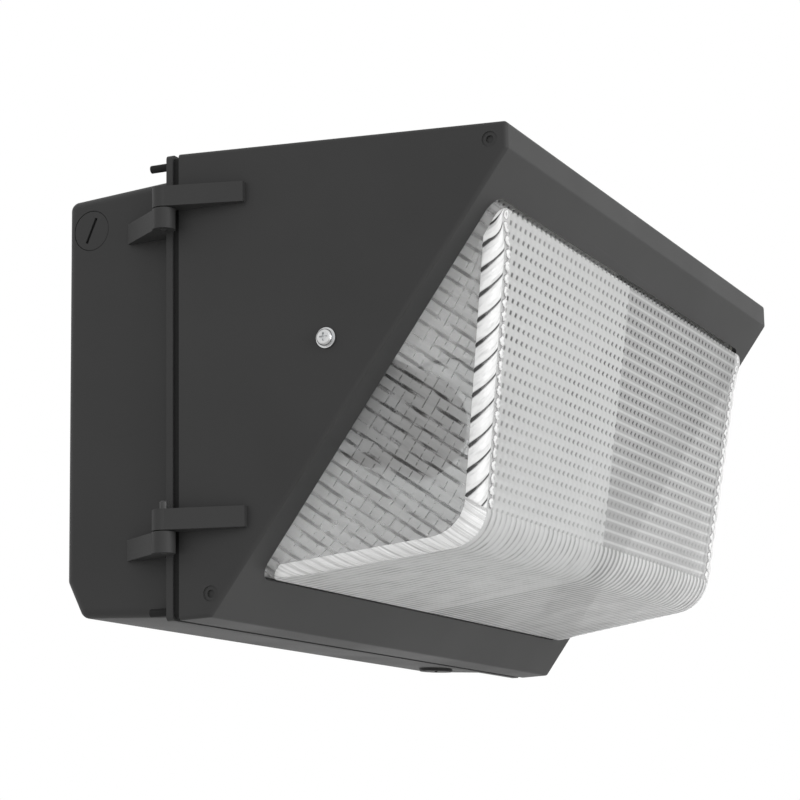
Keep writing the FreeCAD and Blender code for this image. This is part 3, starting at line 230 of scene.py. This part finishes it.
def section(spot, inset):
    """One cross-section of the glass: base half-width, edge centre and edge radius."""
    up, out = spot[:2]
    corner = max(RIM_CORNER - inset, 0.002)
    low, high = RIM_LOW + inset * LOW_SLANT, RIM_HIGH - inset * HIGH_SLANT
    near = max(0.0, corner - min(up - low, high - up))
    rounding = corner - math.sqrt(max(0.0, corner ** 2 - near ** 2))
    half = RIM_HALF - inset / math.cos(SIDE_DRAFT) - rounding
    height = out - SKIRT
    radius = min(EDGE_R - inset * 0.6, height * 1.2)
    centre_x = half - height * math.tan(SIDE_DRAFT) - EDGE_SHIFT * radius
    return half, centre_x, out - radius, radius


def glass_columns(side_steps, edge_steps, front_places):
    """Steps across the glass from its left rim to its right one."""
    left = [("side", step / side_steps) for step in range(side_steps)]
    left += [("edge", step / edge_steps) for step in range(edge_steps)]
    left += [("front", place) for place in front_places]
    right = [(part, place, 1) for part, place in reversed(left)]
    return [(part, place, -1) for part, place in left] + [("front", 1.0, 1)] + right


def on_glass(spot, column, inset):
    """A corner of the sheet before its ribs, and the angle its face looks at from the side."""
    up, out = spot[:2]
    part, place, hand = column
    half, centre_x, centre_out, radius = section(spot, inset)
    if part == "front":
        return hand * centre_x * (1 - place), up, out, math.pi / 2
    angle = SIDE_DRAFT + (place if part == "edge" else 0.0) * (math.pi / 2 - SIDE_DRAFT)
    x = centre_x + radius * math.cos(angle)
    level = centre_out + radius * math.sin(angle)
    if part == "side":
        x = half + (x - half) * place
        level = SKIRT + (level - SKIRT) * place
    return hand * x, up, level, angle


def outer_relief(spot, column, x):
    """Height of the ribs, rope and beads on the outside."""
    up, out, along, line_part = spot
    part, place = column[:2]
    fade = min(1.0, (out - SKIRT) / FADE_IN)
    if part == "side":
        return SIDE_RIB_H * (rounded(up / SIDE_RIB) - 0.6) * min(1.0, place * 8) * fade
    if part == "edge":
        if line_part == "front":
            lobe = abs(math.sin(math.pi * (along / ROPE - ROPE_LEAN * place))) ** 0.55
            return ROPE_H * (lobe - 0.55) * math.sin(math.pi * min(1.0, 0.12 + place)) ** 0.6 * fade
        return UNDER_RIB_H * (rounded(along / RIB + 0.17 * place) - 0.5) * math.sin(math.pi * place) * fade
    if line_part != "front":
        return 0.0
    in_from_edge = place * BEAD_SPAN
    ribs = FRONT_RIB_H * (rounded(along / RIB) - 0.5) * fade
    if in_from_edge > 2 * BEAD_IN:
        return ribs
    off_row = ((along / RIB) % 1.0 - 0.5) * RIB / (BEAD_R * 1.05)
    off_column = (in_from_edge - BEAD_IN) / BEAD_R
    bead = math.sqrt(max(0.0, 1 - off_row ** 2 - off_column ** 2))
    return BEAD_H * bead * fade - BEAD_SINK * fade


def inner_relief(spot, column, x):
    """Flutes down the inside of the front, and along the inside of the sides."""
    part, place = column[:2]
    height = spot[1] - SKIRT
    fade = min(1.0, height / FADE_IN)
    if part == "side":
        return -SIDE_FLUTE_H * rounded(place * height / FLUTE) * min(1.0, place * 6) * fade
    if part == "edge":
        return 0.0
    return -FLUTE_H * rounded(abs(x) / FLUTE) * fade


def lay_pattern(mesh, line, columns):
    """The UV map: across each face of the glass, and along it, in metres."""
    across, along = len(columns) - 1, len(line) - 1
    for face in mesh.polygons:
        part = columns[int((face.center.x + 0.5) * across) + (1 if face.center.x > 0 else 0)][0]
        under = line[int((face.center.y + 0.5) * along)][3] != "front"
        for loop in face.loop_indices:
            corner = mesh.vertices[mesh.loops[loop].vertex_index].co
            up, out, way = line[round((corner.y + 0.5) * along)][:3]
            column = columns[round((corner.x + 0.5) * across)]
            share = column[1] if column[0] == part else 1.0
            if part == "edge" and under:
                share, way = UNDER_SHARE * share, 2 * way
            elif part == "side":
                share, way = share * (out - SKIRT), up
            elif part == "front":
                share = share * BEAD_SPAN
            mesh.uv_layers.active.data[loop].uv = (share, way)


def glass_sheet(name, line, columns, inset, relief, surface_of):
    """A grid set on the glass corner by corner, with its relief, UV map and surfaces."""
    bpy.ops.mesh.primitive_grid_add(x_subdivisions=len(columns) - 1, y_subdivisions=len(line) - 1, size=1)
    sheet = bpy.context.object
    sheet.name = name
    across, along = len(columns) - 1, len(line) - 1
    for face in sheet.data.polygons:
        step = int((face.center.x + 0.5) * across) + (1 if face.center.x > 0 else 0)
        surface = surface_of(line[int((face.center.y + 0.5) * along)], columns[step])
        face.material_index = GLASS_SURFACES.index(surface)
    lay_pattern(sheet.data, line, columns)
    for corner in sheet.data.vertices:
        spot = line[round((corner.co.y + 0.5) * along)]
        column = columns[round((corner.co.x + 0.5) * across)]
        x, up, out, angle = on_glass(spot, column, inset)
        height = relief(spot, column, x)
        tilt = UNDER_TILT if spot[3] == "bottom" else FRONT_TILT
        x += math.copysign(height * math.cos(angle), x) if column[0] != "front" else 0.0
        up += height * tilt * math.sin(angle)
        out += height * OUT_TILT * math.sin(angle)
        corner.co = (x, up, out)
    return sheet


def edit_open_edges(piece):
    """Merge a piece's doubles, and stay in edit mode with its open edges selected."""
    bpy.ops.object.select_all(action="DESELECT")
    piece.select_set(True)
    bpy.context.view_layer.objects.active = piece
    bpy.ops.object.mode_set(mode="EDIT")
    bpy.ops.mesh.select_mode(type="EDGE")
    bpy.ops.mesh.select_all(action="SELECT")
    bpy.ops.mesh.remove_doubles(threshold=0.00001)
    bpy.ops.mesh.select_all(action="DESELECT")
    bpy.ops.mesh.select_non_manifold()


def outer_surface(spot, column):
    """The finish of a face on the outside of the glass."""
    if column[0] == "edge":
        return "edge_glass"
    if column[0] == "side":
        return "side_glass"
    if spot[3] == "front":
        return "bead_glass" if column[1] * BEAD_SPAN < 1.95 * BEAD_IN else "front_glass"
    return "nose_glass"


def prismatic_lens(finish):
    """Outer sheet with skirt and flange, inner sheet, and the flange's rear face between them."""
    bead_share = 2 * BEAD_IN / BEAD_SPAN
    beads = [bead_share * step / BEAD_STEPS for step in range(BEAD_STEPS)]
    plain = [bead_share + (1 - bead_share) * step / PLAIN_STEPS for step in range(PLAIN_STEPS)]
    columns = glass_columns(OUTER_SIDE_STEPS, OUTER_EDGE_STEPS, beads + plain)
    outer = glass_sheet("lens_glass", middle_line(0.0, *OUTER_LINE_STEPS), columns, 0.0,
                        outer_relief, outer_surface)
    edit_open_edges(outer)
    bpy.ops.mesh.extrude_edges_move(TRANSFORM_OT_translate={"value": (0, 0, FLANGE_BACK - SKIRT)})
    bpy.ops.mesh.extrude_edges_move(TRANSFORM_OT_translate={"value": (0, 0, 0)})
    middle = (FLANGE_LOW + FLANGE_HIGH) / 2
    wider = (FLANGE_HALF / RIM_HALF, (FLANGE_HIGH - FLANGE_LOW) / (RIM_HIGH - RIM_LOW), 1)
    bpy.ops.transform.resize(value=wider, center_override=(0, middle, 0))
    bpy.ops.mesh.extrude_edges_move(TRANSFORM_OT_translate={"value": (0, 0, FLANGE_REAR - FLANGE_BACK)})
    bpy.ops.object.mode_set(mode="OBJECT")

    flutes = [step / FLUTE_STEPS for step in range(FLUTE_STEPS)]
    columns = glass_columns(INNER_SIDE_STEPS, INNER_EDGE_STEPS, flutes)
    inner = glass_sheet("lens_inside", middle_line(GLASS, *INNER_LINE_STEPS), columns, GLASS,
                        inner_relief, lambda spot, column: "inner_glass")
    edit_open_edges(inner)
    bpy.ops.mesh.extrude_edges_move(TRANSFORM_OT_translate={"value": (0, 0, FLANGE_REAR - SKIRT)})
    bpy.ops.object.mode_set(mode="OBJECT")

    outer.select_set(True)
    bpy.context.view_layer.objects.active = outer
    for surface in GLASS_SURFACES:
        outer.data.materials.append(finish[surface])
        inner.data.materials.append(finish[surface])
    bpy.ops.object.join()
    edit_open_edges(outer)
    bpy.ops.mesh.fill(use_beauty=True)
    bpy.ops.mesh.select_all(action="SELECT")
    bpy.ops.mesh.normals_make_consistent(inside=False)
    bpy.ops.object.mode_set(mode="OBJECT")
    slope = Matrix(((1, 0, 0), UPSLOPE, OUTWARD)).transposed()
    outer.matrix_world = Matrix.Translation(SLOPE_FOOT) @ slope.to_4x4()
    bpy.ops.object.transform_apply(location=True, rotation=True, scale=True)
    bpy.ops.object.shade_smooth_by_angle(angle=math.radians(50))
    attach(outer, "door")
    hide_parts("lens")


# ---- materials ----
def new_material(name):
    material = bpy.data.materials.new(name)
    material.use_nodes = True
    tree = material.node_tree
    return material, tree, tree.nodes["Principled BSDF"]


def object_noise(tree, scale, detail=3.0, roughness=0.55):
    place = tree.nodes.new("ShaderNodeTexCoord")
    noise = tree.nodes.new("ShaderNodeTexNoise")
    noise.inputs["Scale"].default_value = scale
    noise.inputs["Detail"].default_value = detail
    noise.inputs["Roughness"].default_value = roughness
    tree.links.new(place.outputs["Object"], noise.inputs["Vector"])
    return noise


def between(tree, source, low, high, target):
    """Spread a pattern from one value to another into a socket."""
    spread = tree.nodes.new("ShaderNodeMapRange")
    spread.inputs["From Min"].default_value = 0.3
    spread.inputs["From Max"].default_value = 0.7
    spread.inputs["To Min"].default_value = low
    spread.inputs["To Max"].default_value = high
    tree.links.new(source, spread.inputs["Value"])
    tree.links.new(spread.outputs["Result"], target)


def two_colours(tree, source, dark, light, target):
    ramp = tree.nodes.new("ShaderNodeValToRGB")
    ramp.color_ramp.elements[0].position = 0.3
    ramp.color_ramp.elements[0].color = (*dark, 1)
    ramp.color_ramp.elements[1].position = 0.7
    ramp.color_ramp.elements[1].color = (*light, 1)
    tree.links.new(source, ramp.inputs["Fac"])
    tree.links.new(ramp.outputs["Color"], target)


def bump(tree, shader, source, depth, strength=1.0):
    relief = tree.nodes.new("ShaderNodeBump")
    relief.inputs["Distance"].default_value = depth
    relief.inputs["Strength"].default_value = strength
    tree.links.new(source, relief.inputs["Height"])
    tree.links.new(relief.outputs["Normal"], shader.inputs["Normal"])


def textured(name, dark, light, roughness, scale, depth, metallic=0.0, specular=0.5, blotch=14.0):
    """A surface with slow colour change, uneven gloss and a fine relief."""
    material, tree, shader = new_material(name)
    shader.inputs["Metallic"].default_value = metallic
    shader.inputs["Specular IOR Level"].default_value = specular
    slow = object_noise(tree, blotch, 4.0)
    fine = object_noise(tree, scale, 2.0)
    two_colours(tree, slow.outputs["Fac"], dark, light, shader.inputs["Base Color"])
    between(tree, slow.outputs["Fac"], roughness - 0.06, roughness + 0.06, shader.inputs["Roughness"])
    bump(tree, shader, fine.outputs["Fac"], depth)
    return material


def clear_glass(name, tint, roughness, ior=1.5, solid=1.0):
    """Clear glass: solid is the share that doesn't pass straight through."""
    material, tree, shader = new_material(name)
    shader.inputs["Alpha"].default_value = solid
    shader.inputs["Base Color"].default_value = (*tint, 1)
    shader.inputs["Transmission Weight"].default_value = 1.0
    shader.inputs["IOR"].default_value = ior
    waves = object_noise(tree, 30.0, 2.0)
    between(tree, waves.outputs["Fac"], roughness, roughness + 0.03, shader.inputs["Roughness"])
    bump(tree, shader, waves.outputs["Fac"], 0.0002, 0.5)
    return material


def row_place(tree, source, pitch, start=0.0):
    """How far each point is from the middle of its row, 0 to 0.5."""
    count = tree.nodes.new("ShaderNodeMath")
    count.operation = "MULTIPLY_ADD"
    count.inputs[1].default_value = 1 / pitch
    count.inputs[2].default_value = -start / pitch
    tree.links.new(source, count.inputs[0])
    part = tree.nodes.new("ShaderNodeMath")
    part.operation = "FRACT"
    tree.links.new(count.outputs[0], part.inputs[0])
    middle = tree.nodes.new("ShaderNodeMath")
    middle.operation = "SUBTRACT"
    middle.inputs[1].default_value = 0.5
    tree.links.new(part.outputs[0], middle.inputs[0])
    away = tree.nodes.new("ShaderNodeMath")
    away.operation = "ABSOLUTE"
    tree.links.new(middle.outputs[0], away.inputs[0])
    return away.outputs[0]


def up_and_across(tree, lean=0.0):
    """Places up the door's slope and across it, from the piece's own coordinates."""
    place = tree.nodes.new("ShaderNodeTexCoord")
    up = tree.nodes.new("ShaderNodeVectorMath")
    up.operation = "DOT_PRODUCT"
    up.inputs[1].default_value = UPSLOPE
    tree.links.new(place.outputs["Object"], up.inputs[0])
    across = tree.nodes.new("ShaderNodeVectorMath")
    across.operation = "DOT_PRODUCT"
    across.inputs[1].default_value = Vector((1, 0, 0)) + UPSLOPE * lean
    tree.links.new(place.outputs["Object"], across.inputs[0])
    return up.outputs["Value"], across.outputs["Value"]


def ranged(tree, source, near, far, low, high):
    spread = tree.nodes.new("ShaderNodeMapRange")
    spread.interpolation_type = "SMOOTHSTEP"
    spread.inputs["From Min"].default_value = near
    spread.inputs["From Max"].default_value = far
    spread.inputs["To Min"].default_value = low
    spread.inputs["To Max"].default_value = high
    tree.links.new(source, spread.inputs["Value"])
    return spread.outputs["Result"]


def joined(tree, operation, first, second):
    node = tree.nodes.new("ShaderNodeMath")
    node.operation = operation
    tree.links.new(first, node.inputs[0])
    tree.links.new(second, node.inputs[1])
    return node.outputs[0]


def ramp(tree, source, stops, target):
    node = tree.nodes.new("ShaderNodeValToRGB")
    band = node.color_ramp
    while len(band.elements) < len(stops):
        band.elements.new(0.5)
    for element, (position, colour) in zip(band.elements, stops):
        element.position = position
        element.color = (*colour, 1)
    tree.links.new(source, node.inputs["Fac"])
    tree.links.new(node.outputs["Color"], target)


def pressed_glass(name, clear, roughness, solid):
    """Ribbed glass: clear refracts, and what isn't solid passes straight through."""
    material, tree, shader = new_material(name)
    shader.inputs["Alpha"].default_value = solid
    shader.inputs["Transmission Weight"].default_value = clear
    shader.inputs["IOR"].default_value = 1.5
    shader.inputs["Roughness"].default_value = roughness
    return material, tree, shader


def front_glass():
    """Rows of small dark marks where a flute crosses a rib, painted shade of the dark inside seen through the
    prisms; a painted shade also darkens the half past the mirror line.
    """
    material, tree, shader = pressed_glass("front_glass", 0.42, 0.4, 0.86)
    straight = up_and_across(tree)[1]
    up, across = up_and_across(tree, MARK_LEAN)
    row = row_place(tree, up, MARK_RISE, UP_START)
    column = row_place(tree, across, FLUTE)
    tall = ranged(tree, row, 0.10, 0.27, 1.0, 0.0)
    narrow = ranged(tree, column, 0.08, 0.26, 1.0, 0.0)
    # painted shade: a dark mark where a flute crosses a rib, for the dark inside seen through
    mark = joined(tree, "MULTIPLY", tall, narrow)
    uneven = object_noise(tree, 16.0, 2.0)
    strength = ranged(tree, uneven.outputs["Fac"], 0.35, 0.65, 0.55, 1.0)
    higher = ranged(tree, up, MARKS_FAINT, MARKS_FULL, 0.35, 1.0)
    shown = joined(tree, "MULTIPLY", joined(tree, "MULTIPLY", mark, strength), higher)
    # painted shade: the half past the mirror line is darker, standing for the reflector's shaded side panel
    # seen through, with lighter lines between its rows
    shaded_half = ranged(tree, straight, MIRROR_LINE - MIRROR_SOFT, MIRROR_LINE + MIRROR_SOFT, 0.0, 0.26)
    shaded_rows = joined(tree, "MULTIPLY", shaded_half, ranged(tree, row, 0.3, 0.45, 1.0, 0.2))
    shade = joined(tree, "ADD", shown, shaded_rows)
    ramp(tree, shade, [(0.0, (0.9, 0.905, 0.9)), (0.17, (0.6, 0.6, 0.6)), (0.4, (0.44, 0.44, 0.44)),
                       (0.95, (0.03, 0.03, 0.03))], shader.inputs["Base Color"])
    height = joined(tree, "ADD", ranged(tree, row, 0.0, 0.5, 1.0, 0.0),
                    ranged(tree, column, 0.0, 0.5, 0.6, 0.0))
    bump(tree, shader, height, 0.0012, 0.6)
    return material


def nose_glass():
    """Fine lines down the rounded nose and back under it, grey with painted shade, and a painted shade over
    the half past the mirror line.
    """
    material, tree, shader = pressed_glass("nose_glass", 0.42, 0.4, 0.86)
    across = up_and_across(tree)[1]
    column = row_place(tree, across, FLUTE)
    fine = object_noise(tree, 60.0, 3.0)
    # painted shade: the half past the mirror line is darker, as on the front
    shaded_half = ranged(tree, across, MIRROR_LINE - MIRROR_SOFT, MIRROR_LINE + MIRROR_SOFT, 0.0, -0.3)
    # painted shade: each flute's line is grey at its middle, for the inside seen through
    line = joined(tree, "ADD", ranged(tree, column, 0.0, 0.5, 0.0, 0.8),
                  ranged(tree, fine.outputs["Fac"], 0.3, 0.7, 0.0, 0.25))
    shade = joined(tree, "ADD", line, shaded_half)
    ramp(tree, shade, [(0.0, (0.35, 0.35, 0.35)), (0.3, (0.9, 0.9, 0.9)), (0.8, (0.985, 0.99, 0.985))],
         shader.inputs["Base Color"])
    bump(tree, shader, column, 0.002, 0.8)
    return material


def laid_pattern(tree):
    """Across and along the glass, from the piece's own UV map."""
    place = tree.nodes.new("ShaderNodeTexCoord")
    split = tree.nodes.new("ShaderNodeSeparateXYZ")
    tree.links.new(place.outputs["UV"], split.inputs[0])
    return split.outputs["X"], split.outputs["Y"]


def streaks(tree, across, along, across_scale, along_scale):
    """Noise drawn out in one direction of the glass."""
    wide = tree.nodes.new("ShaderNodeMath")
    wide.operation = "MULTIPLY"
    wide.inputs[1].default_value = across_scale
    tree.links.new(across, wide.inputs[0])
    long = tree.nodes.new("ShaderNodeMath")
    long.operation = "MULTIPLY"
    long.inputs[1].default_value = along_scale
    tree.links.new(along, long.inputs[0])
    place = tree.nodes.new("ShaderNodeCombineXYZ")
    tree.links.new(wide.outputs[0], place.inputs["X"])
    tree.links.new(long.outputs[0], place.inputs["Y"])
    noise = tree.nodes.new("ShaderNodeTexNoise")
    noise.inputs["Scale"].default_value = 1.0
    noise.inputs["Detail"].default_value = 3.0
    tree.links.new(place.outputs[0], noise.inputs["Vector"])
    return noise.outputs["Fac"]


def side_glass():
    """Ribs across the slope, crossed by thin lines, both with painted shade in their valleys for the dark
    inside seen through.
    """
    material, tree, shader = pressed_glass("side_glass", 0.35, 0.05, 0.45)
    across, along = laid_pattern(tree)
    rib = row_place(tree, along, SIDE_RIB)
    line = row_place(tree, across, FLUTE, FLUTE / 2)
    uneven = streaks(tree, across, along, 60.0, 300.0)
    # painted shade in each rib's valley, uneven along it
    valley_shade = joined(tree, "MULTIPLY", ranged(tree, rib, 0.22, 0.44, 0.0, 1.0),
                    ranged(tree, uneven, 0.35, 0.6, 0.3, 1.0))
    # painted shade along the thin lines, broken up by the streaks
    thin = joined(tree, "MULTIPLY", ranged(tree, line, 0.4, 0.48, 0.0, 0.85),
                  ranged(tree, uneven, 0.4, 0.65, 1.0, 0.1))
    shade = joined(tree, "MAXIMUM", valley_shade, thin)
    ramp(tree, shade, [(0.0, (0.985, 0.99, 0.985)), (0.45, (0.9, 0.9, 0.9)), (1.0, (0.04, 0.04, 0.04))],
         shader.inputs["Base Color"])
    bump(tree, shader, uneven, 0.0015, 0.5)
    return material


def edge_glass():
    """The rope along the front's edge: bright leaves with painted shade in the creases between them and in
    the groove along the front.
    """
    material, tree, shader = pressed_glass("edge_glass", 0.12, 0.12, 0.95)
    across, along = laid_pattern(tree)
    turns = tree.nodes.new("ShaderNodeMath")
    turns.operation = "MULTIPLY_ADD"
    turns.inputs[1].default_value = -ROPE_LEAN * ROPE
    tree.links.new(across, turns.inputs[0])
    tree.links.new(along, turns.inputs[2])
    crease = row_place(tree, turns.outputs[0], ROPE)
    uneven = streaks(tree, across, turns.outputs[0], 1.6, 330.0)
    # the painted crease shade widens towards the rope's side rim
    width = ranged(tree, across, 0.0, 0.7, 0.05, 0.0)
    # painted shade in the creases between leaves, weaker under the nose
    dark = joined(tree, "MULTIPLY", ranged(tree, joined(tree, "ADD", crease, width), 0.36, 0.5, 0.0, 1.0),
                  ranged(tree, across, -0.001, 0.0, 0.45, 1.0))
    streak = ranged(tree, uneven, 0.48, 0.72, 0.0, 0.4)
    # painted shade in the groove where the rope meets the front
    groove_shade = ranged(tree, across, 0.93, 0.98, 0.0, 0.5)
    shade = joined(tree, "MAXIMUM", joined(tree, "MAXIMUM", dark, streak), groove_shade)
    ramp(tree, shade, [(0.0, (0.99, 0.99, 0.99)), (0.45, (0.75, 0.75, 0.75)), (0.8, (0.1, 0.1, 0.1)),
                       (1.0, (0.02, 0.02, 0.02))], shader.inputs["Base Color"])
    bump(tree, shader, uneven, 0.0015, 0.7)
    return material


def bead_glass():
    """A column of round beads, with a painted shade ring where each meets the next, and greyer at each bead's
    middle.
    """
    material, tree, shader = pressed_glass("bead_glass", 0.15, 0.12, 0.95)
    across, along = laid_pattern(tree)
    row = row_place(tree, along, RIB)
    off_row = tree.nodes.new("ShaderNodeMath")
    off_row.operation = "MULTIPLY"
    off_row.inputs[1].default_value = RIB / BEAD_R
    tree.links.new(row, off_row.inputs[0])
    off_column = tree.nodes.new("ShaderNodeMath")
    off_column.operation = "MULTIPLY_ADD"
    off_column.inputs[1].default_value = 1 / BEAD_R
    off_column.inputs[2].default_value = -BEAD_IN / BEAD_R
    tree.links.new(across, off_column.inputs[0])
    reach = joined(tree, "ADD", joined(tree, "MULTIPLY", off_row.outputs[0], off_row.outputs[0]),
                   joined(tree, "MULTIPLY", off_column.outputs[0], off_column.outputs[0]))
    uneven = streaks(tree, across, along, 500.0, 500.0)
    shade = joined(tree, "ADD", reach, ranged(tree, uneven, 0.35, 0.65, -0.12, 0.12))
    # painted shade: a dark ring where each bead meets the next
    ramp(tree, shade, [(0.0, (0.55, 0.55, 0.55)), (0.25, (0.97, 0.97, 0.97)), (0.62, (0.95, 0.95, 0.95)),
                       (0.85, (0.16, 0.16, 0.16)), (1.0, (0.6, 0.6, 0.6))], shader.inputs["Base Color"])
    return material


def finishes():
    return {
        "powder_coat": textured("powder_coat", (0.033, 0.033, 0.033), (0.042, 0.042, 0.042), 0.52,
                                2600.0, 0.00006, specular=0.25, blotch=9.0),
        "seal_rubber": textured("seal_rubber", (0.012, 0.012, 0.012), (0.02, 0.02, 0.02), 0.75, 900.0, 0.0001,
                                specular=0.2),
        "lens_seal": textured("lens_seal", (0.55, 0.54, 0.5), (0.66, 0.65, 0.6), 0.6, 700.0, 0.0001),
        "lens_glass": clear_glass("lens_glass", (0.97, 0.985, 0.98), 0.03),
        "front_glass": front_glass(),
        "side_glass": side_glass(),
        "edge_glass": edge_glass(),
        "nose_glass": nose_glass(),
        "bead_glass": bead_glass(),
        "inner_glass": clear_glass("inner_glass", (0.99, 0.99, 0.99), 0.05, solid=0.1),
        "lamp_glass": clear_glass("lamp_glass", (0.97, 0.98, 0.98), 0.01),
        "reflector_aluminium": textured("reflector_aluminium", (0.93, 0.93, 0.93), (0.98, 0.98, 0.98), 0.25,
                                        60.0, 0.0004, metallic=0.2),
        "zinc_steel": textured("zinc_steel", (0.52, 0.53, 0.54), (0.68, 0.68, 0.68), 0.28, 1200.0, 0.00003,
                               metallic=1.0, blotch=200.0),
        "dark_steel": textured("dark_steel", (0.035, 0.035, 0.035), (0.06, 0.06, 0.06), 0.4, 900.0,
                               0.00004, specular=0.4),
        "laminated_steel": textured("laminated_steel", (0.05, 0.045, 0.04), (0.12, 0.11, 0.1), 0.45, 500.0,
                                    0.0001, metallic=0.6),
        "enamelled_copper": textured("enamelled_copper", (0.25, 0.08, 0.025), (0.42, 0.17, 0.06), 0.3, 800.0,
                                     0.0002),
        "can_aluminium": textured("can_aluminium", (0.6, 0.61, 0.62), (0.74, 0.75, 0.76), 0.35, 300.0,
                                  0.00005, metallic=1.0),
        "potting": textured("potting", (0.018, 0.018, 0.02), (0.035, 0.035, 0.04), 0.5, 700.0, 0.00008),
        "porcelain": textured("porcelain", (0.018, 0.015, 0.013), (0.035, 0.03, 0.026), 0.18, 200.0, 0.00003),
        "moulded_plastic": textured("moulded_plastic", (0.68, 0.66, 0.58), (0.78, 0.76, 0.7), 0.45, 900.0,
                                    0.00005),
        "brass": textured("brass", (0.55, 0.4, 0.16), (0.74, 0.58, 0.28), 0.25, 900.0, 0.00003, metallic=1.0),
        "quartz": clear_glass("quartz", (0.98, 0.98, 0.985), 0.02, 1.46),
        "nickel_wire": textured("nickel_wire", (0.45, 0.45, 0.44), (0.58, 0.58, 0.57), 0.3, 1500.0, 0.00002,
                                metallic=1.0),
        "green_zinc": textured("green_zinc", (0.05, 0.2, 0.07), (0.1, 0.3, 0.12), 0.35, 1200.0, 0.00003,
                               metallic=0.8),
    }


def dress_nodes(finish):
    """Each node gets its record's finish, and the hinge pins a darker one."""
    slots = {part["node"]: part["material_slot"] for part in frame["record"]["subparts"]}
    slots["hinge_pins"] = "dark_steel"
    for name, node in nodes.items():
        node.data.materials.clear()
        node.data.materials.append(finish[slots[name]])


bpy.ops.object.select_all(action="DESELECT")
bpy.context.scene.view_settings.view_transform = "Standard"
photo_camera()
white_surroundings(AMBIENT)
area_lamp("key_lamp", (-0.5, -2.3, 0.1), LAMP_AIM, (1.6, 1.6), KEY_WATTS)
area_lamp("left_lamp", (-2.2, -1.0, 0.8), LAMP_AIM, (1.4, 1.4), LEFT_WATTS)
pale_floor()
finish = finishes()
dress_nodes(finish)
prismatic_lens(finish)
